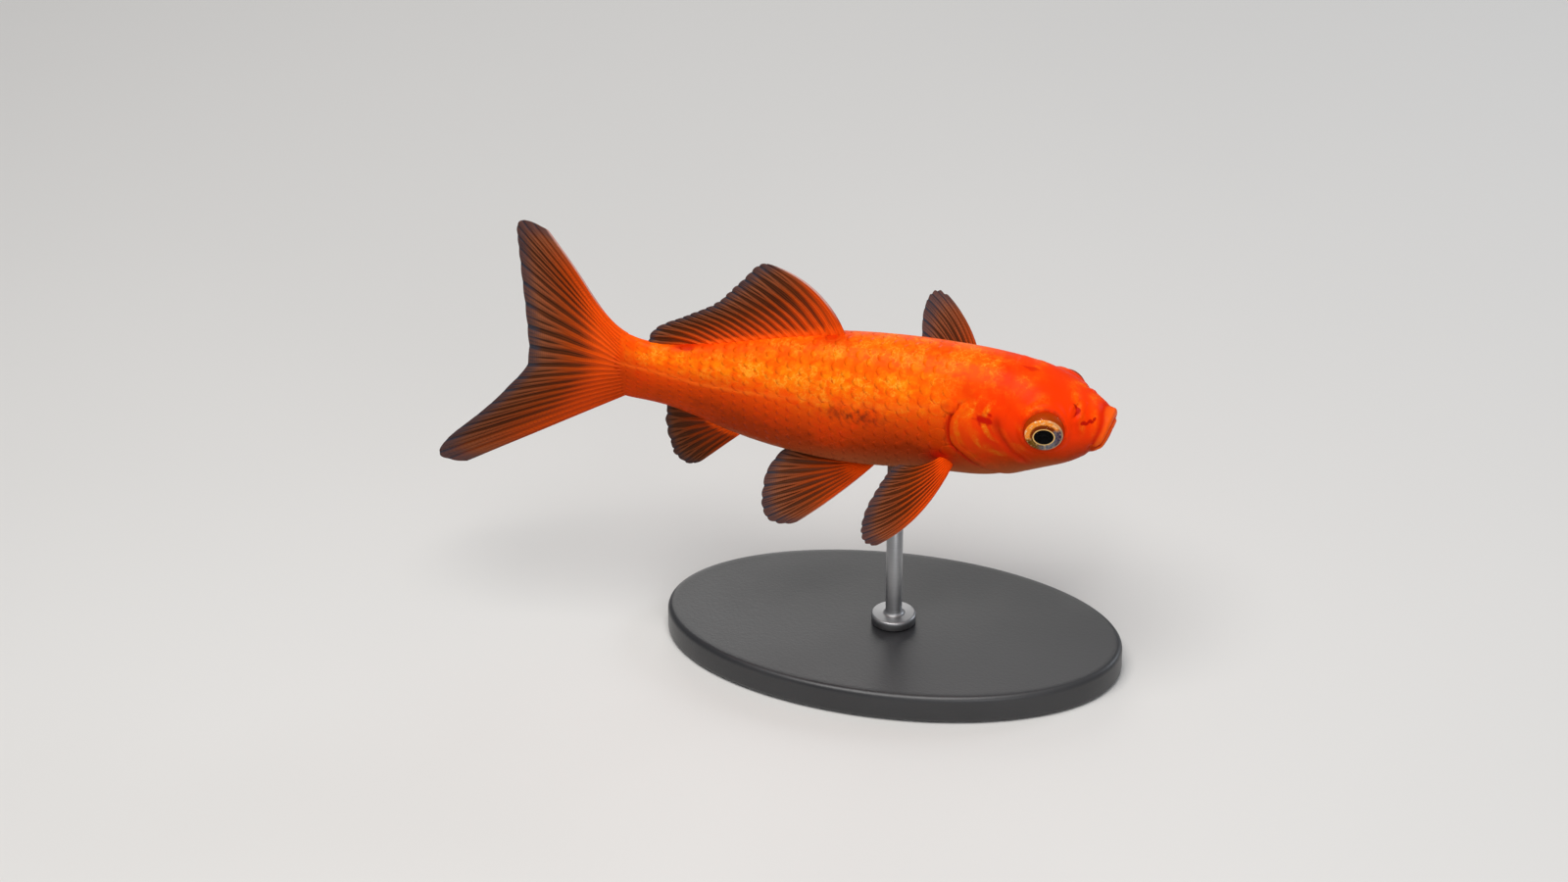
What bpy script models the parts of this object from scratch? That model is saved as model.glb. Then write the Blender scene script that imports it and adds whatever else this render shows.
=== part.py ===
"""A young goldfish at life size, swimming with its tail swung a little to its right, on a display stand.

Frame: the snout points to +X, the left side to +Y, up is +Z, and the origin is the middle of the stand's underside.
Places on the fish are given as (s, z): s runs back from the snout along the curved body axis, and z is the
height over that axis. Everything is in millimetres here, and mesh_object() turns it into metres.
"""

import math

import bmesh
import bpy
import numpy as np
from mathutils import Euler, Matrix

MM = 0.001
GAP = 0.25  # left between neighbouring pieces
CUTTER_REACH = 9.0  # half width of a cutter that crosses the body

# The body's axis: height over the floor, the station over the stand, and the way it bends (s, heading in degrees).
AXIS_HEIGHT = 38.0
POST_STATION = 31.0
AXIS_BEND = ((0.0, -6.0), (30.0, 0.0), (68.0, 7.0), (95.0, 9.0))

# Cross-sections of the body: s, height of the back, height of the belly, half width.
BODY = (
    (3.0, 3.25, -2.45, 2.75),
    (4.0, 3.75, -3.0, 3.25),
    (6.0, 5.05, -4.15, 4.25),
    (8.0, 6.2, -5.1, 4.95),
    (10.5, 7.35, -6.1, 5.45),
    (13.0, 8.1, -7.1, 5.8),
    (18.0, 8.85, -8.45, 6.15),
    (23.0, 9.2, -8.9, 6.3),
    (28.0, 9.35, -9.1, 6.25),
    (34.0, 9.3, -9.55, 6.0),
    (41.0, 8.85, -9.35, 5.3),
    (48.0, 7.7, -8.3, 4.3),
    (55.0, 6.35, -6.2, 3.2),
    (61.0, 5.55, -4.0, 2.3),
    (65.0, 5.9, -3.3, 1.8),
    (68.0, 7.4, -3.05, 1.45),
)
FULLNESS = 2.15  # exponent of the superellipse section: 2 is an ellipse
SNOUT_START = 2.15  # where the rounded front of the lips begins
SNOUT_ROUND = 0.85  # length over which it rounds
MOUTH_LEAN = 14.0  # degrees that the front of the mouth leans forward at its top
LEAN_END = 9.0  # station where that lean has died out
SEGMENTS = 32  # around the body

# Where the body is parted, and the lines that part the mouth, as (s, z).
GILL_STATION = 21.6
STEM_STATION = 51.5
BODY_END = 68.0
MOUTH_CORNER = (4.0, -1.0)
LIP_GROOVE = ((2.15, 6.0), (2.2, 3.5), (3.1, 1.2), MOUTH_CORNER)
GAPE = ((0.0, 2.6), (2.05, 2.5), (2.6, 1.1), MOUTH_CORNER)
JAW_EDGE = (MOUTH_CORNER, (6.9, -7.5))

# Gill cover: middle, half length, half height, forward shear of its lower end, wall and lift of its free edge.
GILL_CENTRE = (18.2, -0.2)
GILL_SIZE = (4.1, 5.0)
GILL_SHEAR = -0.32
GILL_WALL = 1.0
GILL_LIFT = 0.2

# Eye: station and height of its middle, the ball's distance from the middle plane, radius, half thickness and aim,
# and how far the head swells out round it, most of all over it.
EYE_PLACE = (9.9, 1.92)
EYE_SIDE = 5.6
EYE_RADIUS = 2.8
EYE_BULGE = 2.3
EYE_FORWARD = 14.0
EYE_DOWN = 10.0
EYE_SWELL = 2.0
EYE_SWELL_REACH = 2.6
EYE_SWELL_RISE = 1.2

# A fin's rays: position along the root (0 leading, 1 trailing), angle in its plane, length.
FIN_WALL = 0.55
RAY_INSET = 0.09  # share of a ray's length that starts inside the body
DORSAL_ROOT = (38.0, 58.6)
DORSAL_RAYS = (
    (0.0, 43.8, 13.1),
    (0.1, 45.0, 13.0),
    (0.2, 40.5, 11.7),
    (0.35, 34.0, 9.9),
    (0.5, 28.7, 8.4),
    (0.65, 24.2, 7.8),
    (0.8, 19.8, 7.2),
    (0.93, 6.5, 6.9),
    (1.0, -9.0, 5.6),
)
DORSAL_BEND = 20.0  # degrees that its rays curve backwards
DORSAL_LEAD_BEND = 34.0  # how much more the first ray curves; this fades out over the first LEAD_SHARE of the fin
LEAD_SHARE = 0.3
ANAL_ROOT = (51.7, 57.0)
ANAL_RAYS = (
    (0.0, -41.3, 7.7),
    (0.2, -42.2, 8.6),
    (0.4, -35.0, 8.5),
    (0.6, -27.3, 7.4),
    (0.8, -8.0, 6.1),
    (1.0, 18.0, 5.0),
)
TAIL_ROOT = (7.4, -3.2)
TAIL_RAYS = (
    (0.0, 57.0, 16.4),
    (0.1, 52.6, 20.3),
    (0.2, 49.0, 19.9),
    (0.3, 43.6, 17.5),
    (0.4, 30.5, 14.2),
    (0.5, 8.7, 12.2),
    (0.55, -2.4, 12.4),
    (0.6, -9.0, 14.0),
    (0.7, -16.5, 18.1),
    (0.8, -20.1, 22.9),
    (0.9, -24.0, 27.0),
    (1.0, -27.9, 23.7),
)

# Paired fins: rays, seat on the body (s, side, z), ends of the root line in the fin's plane, wall, bend of the rays.
PECTORAL = {
    "rays": (
        (0.0, 2.0, 16.9),
        (0.15, 5.5, 18.1),
        (0.35, 10.0, 17.4),
        (0.5, 13.8, 15.7),
        (0.7, 19.6, 12.4),
        (0.85, 24.4, 10.2),
        (1.0, 29.0, 7.4),
    ),
    "seat": (23.2, 5.1, -5.4),
    "root": ((0.0, -1.1), (0.0, 1.1)),
    "wall": 1.6,
    "bend": -1.0,
}
PELVIC = {
    "rays": (
        (0.0, -44.0, 12.9),
        (0.2, -39.3, 14.8),
        (0.4, -32.4, 15.3),
        (0.6, -23.5, 14.1),
        (0.8, -11.5, 12.5),
        (1.0, 4.5, 9.8),
    ),
    "seat": (33.5, 2.0, -8.9),
    "root": ((0.0, 0.0), (2.4, 0.0)),
    "wall": 1.2,
    "bend": -1.0,
}
# Their poses: swing out from straight back, rise, twist of the trailing edge, curl of the tip, turn of the rays.
PECTORAL_POSE = {"right": (66.0, -15.5, 60.0, 0.05, 35.0), "left": (70.0, 61.0, 10.0, -0.23, 60.0)}
PELVIC_POSE = {"right": (0.0, 0.0, 52.0, 0.0, 10.0), "left": (0.0, 0.0, 36.0, 0.0, 10.0)}

# Stand: an oval base with a turned post that ends in a socket in the belly.
BASE_LENGTH = 62.0
BASE_WIDTH = 36.0
BASE_THICKNESS = 4.0
BASE_EDGE = 0.8
POST_RADIUS = 1.1
POST_FOOT_RADIUS = 3.0
POST_FOOT_HEIGHT = 1.2
SOCKET_DEPTH = 3.0

COLOURS = {  # linear colour, roughness, metallic
    "orange_skin": ((0.85, 0.13, 0.012), 0.4, 0.0),
    "fin": ((0.6, 0.12, 0.03), 0.45, 0.0),
    "eye": ((0.75, 0.45, 0.12), 0.12, 0.0),
    "base": ((0.03, 0.03, 0.032), 0.35, 0.0),
    "post": ((0.6, 0.6, 0.6), 0.3, 1.0),
}


def clear_scene():
    for thing in list(bpy.data.objects):
        bpy.data.objects.remove(thing, do_unlink=True)


def new_collection(name):
    collection = bpy.data.collections.new(name)
    bpy.context.scene.collection.children.link(collection)
    return collection


def new_material(name):
    colour, roughness, metallic = COLOURS[name]
    material = bpy.data.materials.new(name)
    material.use_nodes = True
    shader = material.node_tree.nodes["Principled BSDF"]
    shader.inputs["Base Color"].default_value = (*colour, 1.0)
    shader.inputs["Roughness"].default_value = roughness
    shader.inputs["Metallic"].default_value = metallic
    return material


def mesh_object(name, points, faces, collection, material=None):
    """An object from points in millimetres, with its faces turned to point out."""
    mesh = bpy.data.meshes.new(name)
    mesh.from_pydata((np.asarray(points) * MM).tolist(), [], faces)
    work = bmesh.new()
    work.from_mesh(mesh)
    bmesh.ops.recalc_face_normals(work, faces=work.faces)
    work.to_mesh(mesh)
    work.free()
    return placed(bpy.data.objects.new(name, mesh), collection, material)


def placed(thing, collection, material=None):
    """Moves an object into a collection, and gives it its material, or hides it as a cutter if it has none."""
    for old in list(thing.users_collection):
        old.objects.unlink(thing)
    collection.objects.link(thing)
    if material:
        thing.data.materials.append(material)
        thing.data.shade_smooth()
    else:
        thing.hide_render = True
        thing.display_type = "WIRE"
    return thing


def boolean(thing, cutter, operation="DIFFERENCE"):
    modifier = thing.modifiers.new(operation.title(), "BOOLEAN")
    modifier.operation = operation
    modifier.solver = "EXACT"
    modifier.object = cutter


def smooth(rows, column, at):
    """A natural cubic spline through one column of a table, over its first column."""
    x = np.array([row[0] for row in rows])
    y = np.array([row[column] for row in rows])
    step = np.diff(x)
    system = np.eye(len(x))
    right = np.zeros(len(x))
    for i in range(1, len(x) - 1):
        system[i, i - 1 : i + 2] = step[i - 1], 2 * (step[i - 1] + step[i]), step[i]
        right[i] = 6 * ((y[i + 1] - y[i]) / step[i] - (y[i] - y[i - 1]) / step[i - 1])
    curve = np.linalg.solve(system, right)
    at = np.asarray(at, float)
    i = np.clip(np.searchsorted(x, at) - 1, 0, len(x) - 2)
    before, after, h = at - x[i], x[i + 1] - at, step[i]
    bow = (curve[i] * after**3 + curve[i + 1] * before**3) / (6 * h)
    return bow + (y[i] / h - curve[i] * h / 6) * after + (y[i + 1] / h - curve[i + 1] * h / 6) * before


def heading(s):
    return np.radians(smooth(AXIS_BEND, 1, s))


def world(s, side, z):
    """The place at station s of the bent axis, side millimetres to the fish's left and z over the axis."""
    s, side, z = np.broadcast_arrays(np.asarray(s, float), side, z)
    along = np.linspace(0.0, 110.0, 2201)
    turn = heading(along)
    step = along[1]
    x = -step * np.concatenate(([0.0], np.cumsum((np.cos(turn[1:]) + np.cos(turn[:-1])) / 2)))
    y = -step * np.concatenate(([0.0], np.cumsum((np.sin(turn[1:]) + np.sin(turn[:-1])) / 2)))
    here = heading(s)
    before = np.minimum(s, 0.0)  # ahead of the snout the axis runs on straight
    x = np.interp(s, along, x) - np.interp(POST_STATION, along, x) - before * np.cos(here)
    y = np.interp(s, along, y) - np.interp(POST_STATION, along, y) - before * np.sin(here)
    return np.stack((x - np.sin(here) * side, y + np.cos(here) * side, AXIS_HEIGHT + z), axis=-1)


def power(value, exponent):
    return np.sign(value) * np.abs(value) ** exponent


def swell(s, z):
    """A soft rise in the head's width round the eye, with its middle a little over the eye's."""
    away = (s - EYE_PLACE[0]) ** 2 + (z - EYE_PLACE[1] - EYE_SWELL_RISE) ** 2
    return EYE_SWELL * np.exp(-away / (2 * EYE_SWELL_REACH**2))


def half_width_at(s, z):
    """How far the skin is from the middle plane at (s, z)."""
    back, belly, width = (smooth(BODY, column, s) for column in (1, 2, 3))
    share = np.clip(np.abs(2 * z - back - belly) / (back - belly), 0.0, 1.0)
    return (width + swell(s, z)) * (1 - share**FULLNESS) ** (1 / FULLNESS)


def body_rings(stations, grow=0.0):
    """Superellipse rings at the stations; near the snout they shrink to a rounded front and lean forward."""
    s = np.asarray(stations, float)[:, None]
    held = np.maximum(s, BODY[0][0])
    back, belly, width = (smooth(BODY, column, held) for column in (1, 2, 3))
    ahead = np.clip((BODY[0][0] - s) / SNOUT_ROUND, 0.0, 0.98)
    size = np.sqrt(1 - ahead**2)
    turn = np.linspace(0, 2 * np.pi, SEGMENTS, endpoint=False)[None]
    height = ((back - belly) / 2 * size + grow) * power(np.sin(turn), 2 / FULLNESS)
    middle = (back + belly) / 2
    side = (width * size + grow + swell(s, middle + height)) * power(np.cos(turn), 2 / FULLNESS)
    fade = np.clip((LEAN_END - held) / (LEAN_END - BODY[0][0]), 0.0, 1.0)
    lean = np.tan(np.radians(MOUTH_LEAN)) * fade**2
    return world(s - height * lean, side, middle + height)


def loft(name, rings, collection, material=None):
    """A closed solid through rings of points, with flat ends."""
    count, around = rings.shape[:2]
    faces = [
        (r * around + k, r * around + (k + 1) % around, (r + 1) * around + (k + 1) % around, (r + 1) * around + k)
        for r in range(count - 1)
        for k in range(around)
    ]
    faces.append(tuple(range(around)))
    faces.append(tuple(range((count - 1) * around, count * around)))
    return mesh_object(name, rings.reshape(-1, 3), faces, collection, material)


def prism(name, outline, collection):
    """A cutter: an outline in (s, z), extruded to both sides of the middle plane."""
    s, z = np.array(outline, float).T
    return loft(name, np.stack((world(s, -CUTTER_REACH, z), world(s, CUTTER_REACH, z))), collection)


def moved(line, back, up=0.0):
    return [(s + back, z + up) for s, z in line]


def plate(name, side, margin, outer, inner, collection, material=None):
    """A plate that follows the flank: a superellipse outline, sheared so that its lower end lies further forward."""
    reach = np.concatenate(([0.02], np.linspace(0.25, 1.0, 5)))[:, None]
    turn = np.linspace(0, 2 * np.pi, 24, endpoint=False)[None]
    z = GILL_CENTRE[1] + (GILL_SIZE[1] + margin) * reach * power(np.sin(turn), 0.85)
    across = (GILL_SIZE[0] + margin) * reach * power(np.cos(turn), 0.85)
    s = GILL_CENTRE[0] + across - GILL_SHEAR * (z - GILL_CENTRE[1])
    lift = GILL_LIFT * np.clip(across / GILL_SIZE[0], 0.0, 1.0) ** 2
    skin = half_width_at(s, z)
    sheets = (world(s, side * (skin + outer + lift), z), world(s, side * (skin - inner), z))
    rings = np.concatenate((sheets[0], sheets[1][::-1]))
    return loft(name, rings, collection, material)


def fin(name, rays, root, place, wall_at_root, counts, parts, cutters, material, bend=0.0, lead_bend=0.0):
    """A fan of rays, each an arc that turns by bend degrees, and the first by lead_bend more, given a wall and cut
    free of the body.

    root gives a ray's start in the fin's plane and place takes a point of the plane to the world. The rays start
    a little inside the body, and the wall thins towards the margin and the two edges.
    """
    v = np.linspace(0.0, 1.0, counts[0])[:, None]
    u = np.linspace(-RAY_INSET, 1.0, counts[1])[None]
    angle = np.radians(smooth(rays, 1, v))
    length = smooth(rays, 2, v)
    start = root(v)
    bow = np.radians(bend + lead_bend * np.clip(1 - v / LEAD_SHARE, 0.0, 1.0) ** 2) / 2 * u * (1 - u)
    along = start[0] + length * (u * np.cos(angle) - bow * np.sin(angle))
    across = start[1] + length * (u * np.sin(angle) + bow * np.cos(angle))
    columns, rows = counts
    faces = [
        (i * rows + j, i * rows + j + 1, (i + 1) * rows + j + 1, (i + 1) * rows + j)
        for i in range(columns - 1)
        for j in range(rows - 1)
    ]
    thing = mesh_object(name, place(along, across).reshape(-1, 3), faces, parts, material)
    shares = (1 - np.clip(u, 0.0, 1.0)) ** 3 * (1 - (2 * v - 1) ** 4)
    group = thing.vertex_groups.new(name="wall")
    for index, share in enumerate(shares.flat):
        group.add([index], float(share), "REPLACE")
    solidify = thing.modifiers.new("Wall", "SOLIDIFY")
    solidify.thickness = wall_at_root * MM
    solidify.offset = 0.0
    solidify.vertex_group = "wall"
    solidify.thickness_vertex_group = FIN_WALL / wall_at_root
    boolean(thing, cutters.objects["whole_body"])


def middle_fin(name, rays, root_line, counts, wall_at_root, parts, cutters, material, bend=0.0, lead_bend=0.0):
    """A fin that stands in the body's curved middle plane, where root_line gives (s, z)."""
    place = lambda s, z: world(s, 0.0, z)
    fin(name, rays, root_line, place, wall_at_root, counts, parts, cutters, material, bend, lead_bend)


def paired_fin(name, side, kind, pose, parts, cutters, material):
    """A pectoral or pelvic fin. Its plane holds the lead, which is swung out from straight back and raised, and the
    spread, which lies behind the lead and is turned up by twist about it. The fin's right-hand twin is its mirror."""
    swing, rise, twist, curl = math.radians(pose[0]), math.radians(pose[1]), math.radians(pose[2]), pose[3]
    lead = np.array((-math.cos(rise) * math.cos(swing), math.cos(rise) * math.sin(swing), math.sin(rise)))
    ahead = np.cross(lead, (0.0, 0.0, 1.0))
    ahead /= np.linalg.norm(ahead)
    spread = -math.cos(twist) * ahead + math.sin(twist) * np.cross(ahead, lead)
    normal = np.cross(lead, spread)
    seat = world(kind["seat"][0], side * kind["seat"][1], kind["seat"][2])

    def place(along, across):
        lift = curl * along**2 / kind["rays"][0][2]
        offset = along[..., None] * lead + across[..., None] * spread + lift[..., None] * normal
        return seat + offset * (1.0, side, 1.0)

    def root(v):
        first, last = kind["root"]
        return first[0] + (last[0] - first[0]) * v, first[1] + (last[1] - first[1]) * v

    fin(name, kind["rays"], root, place, kind["wall"], (12, 7), parts, cutters, material, kind["bend"] * pose[4])


def build_body(parts, cutters, skin):
    front = SNOUT_START + SNOUT_ROUND * np.array([0.02, 0.12, 0.3, 0.6, 1.0])
    head_stations = np.concatenate((front, np.linspace(4.0, GILL_STATION, 12)))
    mouth_stations = np.concatenate((front, np.linspace(3.6, 9.5, 7)))
    trunk_stations = np.linspace(GILL_STATION + GAP, STEM_STATION, 17)
    stem_stations = np.linspace(STEM_STATION + GAP, BODY_END, 10)
    head = loft("head", body_rings(head_stations), parts, skin)
    lip = loft("upper_lip", body_rings(mouth_stations), parts, skin)
    jaw = loft("lower_jaw", body_rings(mouth_stations), parts, skin)
    trunk = loft("trunk", body_rings(trunk_stations), parts, skin)
    loft("tail_stem", body_rings(stem_stations), parts, skin)
    whole = np.concatenate((head_stations, trunk_stations, stem_stations, [BODY_END + GAP]))
    loft("whole_body", body_rings(whole, GAP), cutters)

    # The mouth is parted along three lines, each cut half a gap to either side of its line.
    ahead, high, deep, half = -2.0, 6.0, -8.0, GAP / 2
    groove, gape, edge = list(LIP_GROOVE), list(GAPE), list(JAW_EDGE)
    muzzle = [(ahead, high), *moved(groove, half), *moved(edge[1:], half), (ahead, deep)]
    arch = [(ahead, high), *moved(groove[:-1], -half), *moved(gape[::-1][1:], -half, GAP), (ahead, GAPE[0][1] + GAP)]
    chin = [(ahead, GAPE[0][1]), *moved(gape, -half), *moved(edge[1:], -half), (ahead, deep)]
    boolean(head, prism("muzzle_cut", muzzle, cutters))
    boolean(lip, prism("lip_keep", arch, cutters), "INTERSECT")
    boolean(jaw, prism("jaw_keep", chin, cutters), "INTERSECT")
    return head, trunk


def build_gill_cover(name, side, head, trunk, parts, cutters, skin):
    plate(name, side, 0.0, 0.0, GILL_WALL, parts, skin)
    recess = plate(name + "_recess", side, GAP, 2.0, GILL_WALL + GAP, cutters)
    boolean(head, recess)
    boolean(trunk, recess)


def eyeball(name, side, grow):
    """A flattened ball whose thin axis looks out to its side, a little forward and down."""
    bpy.ops.mesh.primitive_uv_sphere_add(segments=18, ring_count=9, radius=1.0)
    ball = bpy.context.object
    ball.name = name
    size = Matrix.Diagonal(((EYE_RADIUS + grow) * MM, (EYE_RADIUS + grow) * MM, (EYE_BULGE + grow) * MM, 1.0))
    tip = Euler((0.0, math.radians(90.0 + EYE_DOWN), 0.0)).to_matrix().to_4x4()
    aim = float(heading(EYE_PLACE[0])) + side * math.radians(90.0 - EYE_FORWARD)
    turn = Euler((0.0, 0.0, aim)).to_matrix().to_4x4()
    place = Matrix.Translation(world(EYE_PLACE[0], side * EYE_SIDE, EYE_PLACE[1]) * MM)
    ball.data.transform(place @ turn @ tip @ size)
    return ball


def build_eye(name, side, head, parts, cutters, material):
    placed(eyeball(name, side, 0.0), parts, material)
    boolean(head, placed(eyeball(name + "_socket", side, GAP), cutters))


def build_middle_fins(parts, cutters, material):
    def along(root, v):
        return root[0] + (root[1] - root[0]) * v

    def on_back(v):
        s = along(DORSAL_ROOT, v)
        return s, smooth(BODY, 1, s)

    def under_belly(v):
        s = along(ANAL_ROOT, v)
        return s, smooth(BODY, 2, s)

    def at_tail(v):
        return BODY_END + 0.0 * v, along(TAIL_ROOT, v)

    bends = (DORSAL_BEND, DORSAL_LEAD_BEND)
    middle_fin("dorsal_fin", DORSAL_RAYS, on_back, (16, 7), 1.4, parts, cutters, material, *bends)
    middle_fin("anal_fin", ANAL_RAYS, under_belly, (11, 6), 1.2, parts, cutters, material)
    middle_fin("tail_fin", TAIL_RAYS, at_tail, (25, 9), 2.4, parts, cutters, material)


def build_stand(trunk, parts, cutters, base_finish, post_finish):
    bpy.ops.mesh.primitive_cylinder_add(vertices=36, radius=1.0, depth=1.0)
    base = placed(bpy.context.object, parts, base_finish)
    base.name = "stand_base"
    size = (BASE_LENGTH / 2 * MM, BASE_WIDTH / 2 * MM, BASE_THICKNESS * MM, 1.0)
    base.data.transform(Matrix.Diagonal(size) @ Matrix.Translation((0.0, 0.0, 0.5)))
    bevel = base.modifiers.new("Edge", "BEVEL")
    bevel.width = BASE_EDGE * MM
    bevel.segments = 2

    belly = AXIS_HEIGHT + float(smooth(BODY, 2, POST_STATION))
    foot = BASE_THICKNESS + GAP
    top = belly + SOCKET_DEPTH - GAP
    shoulder = foot + POST_FOOT_HEIGHT
    outline = ((0.0, top), (POST_RADIUS, top), (POST_RADIUS, shoulder), (POST_FOOT_RADIUS, shoulder),
               (POST_FOOT_RADIUS, foot), (0.0, foot))
    turned("stand_post", outline, parts, post_finish)
    wide, roof = POST_RADIUS + GAP, belly + SOCKET_DEPTH
    hole = turned("post_socket", ((0.0, roof), (wide, roof), (wide, belly - 3.0), (0.0, belly - 3.0)), cutters)
    boolean(trunk, hole)


def turned(name, outline, collection, material=None):
    """A profile of (radius, height) from its top down its outer side, turned about the upright axis."""
    mesh = bpy.data.meshes.new(name)
    points = [(radius * MM, 0.0, height * MM) for radius, height in outline]
    mesh.from_pydata(points, [(i, i + 1) for i in range(len(points) - 1)], [])
    thing = placed(bpy.data.objects.new(name, mesh), collection, material)
    screw = thing.modifiers.new("Turn", "SCREW")
    screw.steps = screw.render_steps = 20
    screw.use_merge_vertices = True
    screw.merge_threshold = 0.00001
    return thing


def main():
    clear_scene()
    parts, cutters = new_collection("goldfish"), new_collection("cutters")
    finish = {name: new_material(name) for name in COLOURS}
    head, trunk = build_body(parts, cutters, finish["orange_skin"])
    for name, side in (("right", -1), ("left", 1)):
        build_gill_cover("gill_cover_" + name, side, head, trunk, parts, cutters, finish["orange_skin"])
        build_eye("eye_" + name, side, head, parts, cutters, finish["eye"])
        paired_fin("pectoral_fin_" + name, side, PECTORAL, PECTORAL_POSE[name], parts, cutters, finish["fin"])
        paired_fin("pelvic_fin_" + name, side, PELVIC, PELVIC_POSE[name], parts, cutters, finish["fin"])
    build_middle_fins(parts, cutters, finish["fin"])
    build_stand(trunk, parts, cutters, finish["base"], finish["post"])


main()
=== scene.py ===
# A young goldfish on its display stand: skin, scales, fins, eyes, stand, floor, light and camera.
# Lengths are in millimetres until a mesh is made. A place on the fish is (s, side, z): s runs back from the
# snout along the bent axis, side goes to the fish's left, and z is the height over the axis.
from functools import reduce

import bpy
import numpy as np
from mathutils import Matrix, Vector


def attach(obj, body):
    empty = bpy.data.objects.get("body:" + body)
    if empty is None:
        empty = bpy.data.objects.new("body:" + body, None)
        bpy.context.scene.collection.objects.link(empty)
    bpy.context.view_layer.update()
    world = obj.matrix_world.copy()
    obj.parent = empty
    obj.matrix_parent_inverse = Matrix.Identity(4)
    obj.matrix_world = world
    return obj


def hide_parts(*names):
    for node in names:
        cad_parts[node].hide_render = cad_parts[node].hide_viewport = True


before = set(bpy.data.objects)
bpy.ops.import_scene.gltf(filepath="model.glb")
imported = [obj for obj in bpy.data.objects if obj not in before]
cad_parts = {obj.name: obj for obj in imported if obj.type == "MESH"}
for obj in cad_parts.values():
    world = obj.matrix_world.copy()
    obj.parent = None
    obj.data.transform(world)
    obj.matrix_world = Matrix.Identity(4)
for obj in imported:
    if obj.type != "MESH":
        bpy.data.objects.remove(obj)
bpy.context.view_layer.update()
mm = 0.001
print("frame loaded:", len(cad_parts), "nodes")

body = {
    "axisHeight": 38.0,
    "postStation": 31.0,
    "axisBend": [(0.0, -6.0), (30.0, 0.0), (68.0, 7.0), (95.0, 9.0)],  # s, heading in degrees
    "front": 3.0,
    "rear": 68.0,
    "sections": [  # s, back, belly, half width
        (3.0, 3.25, -2.45, 2.75),
        (4.0, 3.75, -3.0, 3.25),
        (6.0, 5.05, -4.15, 4.25),
        (8.0, 6.2, -5.1, 4.95),
        (10.5, 7.35, -6.1, 5.45),
        (13.0, 8.1, -7.1, 5.8),
        (18.0, 8.85, -8.45, 6.15),
        (23.0, 9.2, -8.9, 6.3),
        (28.0, 9.35, -9.1, 6.25),
        (34.0, 9.3, -9.55, 6.0),
        (41.0, 8.85, -9.35, 5.3),
        (48.0, 7.7, -8.3, 4.3),
        (55.0, 6.35, -6.2, 3.2),
        (61.0, 5.55, -4.0, 2.3),
        (65.0, 5.9, -3.3, 1.8),
        (68.0, 7.4, -3.05, 1.45),
    ],
    "fullness": 2.15,
    "snoutRound": 0.85,
    "mouthLean": 14.0,
    "leanEnd": 9.0,
    "taperStart": 62.5,
    "taperLength": 8.4,
    "faceInset": 0.1,  # how far the skin lies inside the solids
    "coatDepth": 0.17,
    "coatStart": (19.0, 24.0),
}
eye = {
    "station": 9.9,
    "height": 1.92,
    "side": 5.6,
    "radius": 2.8,
    "bulge": 2.3,
    "forward": 14.0,
    "down": 10.0,
    "swell": 2.0,
    "swellReach": 2.6,
    "swellRise": 1.2,  # how far over the eye the swelling has its middle
    "pupil": 1.27,
    "iris": 2.44,
    "irisDepth": 1.1,
    "gloss": 0.05,  # from the cornea to the ball
}


def smoothCurve(rows, column, at):
    # natural cubic spline through the rows: piecewise cubics with equal slope and curvature where they meet
    table = np.asarray(rows, float)
    x, y = table[:, 0], table[:, column]
    step = np.diff(x)
    inner = np.arange(1, len(x) - 1)
    system = np.eye(len(x))
    system[inner, inner - 1], system[inner, inner + 1] = step[:-1], step[1:]
    system[inner, inner] = 2 * (step[:-1] + step[1:])
    right = np.zeros(len(x))
    right[inner] = 6 * np.diff(np.diff(y) / step)
    bend = np.linalg.solve(system, right)
    at = np.asarray(at, float)
    i = np.clip(np.searchsorted(x, at) - 1, 0, len(x) - 2)
    after, before, h = x[i + 1] - at, at - x[i], step[i]
    bow = (bend[i] * after**3 + bend[i + 1] * before**3) / (6 * h)
    return bow + (y[i] / h - bend[i] * h / 6) * after + (y[i + 1] / h - bend[i + 1] * h / 6) * before


def heading(s):
    return np.radians(smoothCurve(body["axisBend"], 1, s))


axisS = np.linspace(0.0, 110.0, 2201)


def runBack(rate):
    # minus the integral of the rate along the axis, by the trapezium rule
    return -axisS[1] * np.concatenate(([0.0], np.cumsum((rate[1:] + rate[:-1]) / 2)))


axisX, axisY = runBack(np.cos(heading(axisS))), runBack(np.sin(heading(axisS)))


def place(s, side, z):
    # x, y = minus the integral of (cos, sin) of the heading from the post, plus side times the axis's
    # left normal
    s, side, z = np.broadcast_arrays(np.asarray(s, float), side, z)
    here, ahead, post = heading(s), np.minimum(s, 0.0), body["postStation"]
    x = np.interp(s, axisS, axisX) - np.interp(post, axisS, axisX) - ahead * np.cos(here)
    y = np.interp(s, axisS, axisY) - np.interp(post, axisS, axisY) - ahead * np.sin(here)
    return np.stack((x - np.sin(here) * side, y + np.cos(here) * side, body["axisHeight"] + z), axis=-1)


def power(value, exponent):
    return np.sign(value) * np.abs(value) ** exponent


def rise(value, low, high):
    # smooth step from 0 at low to 1 at high: t² (3 - 2t)
    t = np.clip((value - low) / (high - low), 0.0, 1.0)
    return t * t * (3 - 2 * t)


def hill(distance, width=1.0):
    # exp(-(distance / width)²)
    return np.exp(-((distance / width) ** 2))


def within(value, start, full, last, end):
    # smooth steps up from start to full and down from last to end
    return rise(value, start, full) * rise(value, end, last)


def oval(s, z, atS, atZ, longS=1.0, longZ=1.0):
    # distance from a place in half lengths: sqrt((ds / longS)² + (dz / longZ)²)
    return np.hypot((s - atS) / longS, (z - atZ) / longZ)


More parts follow.
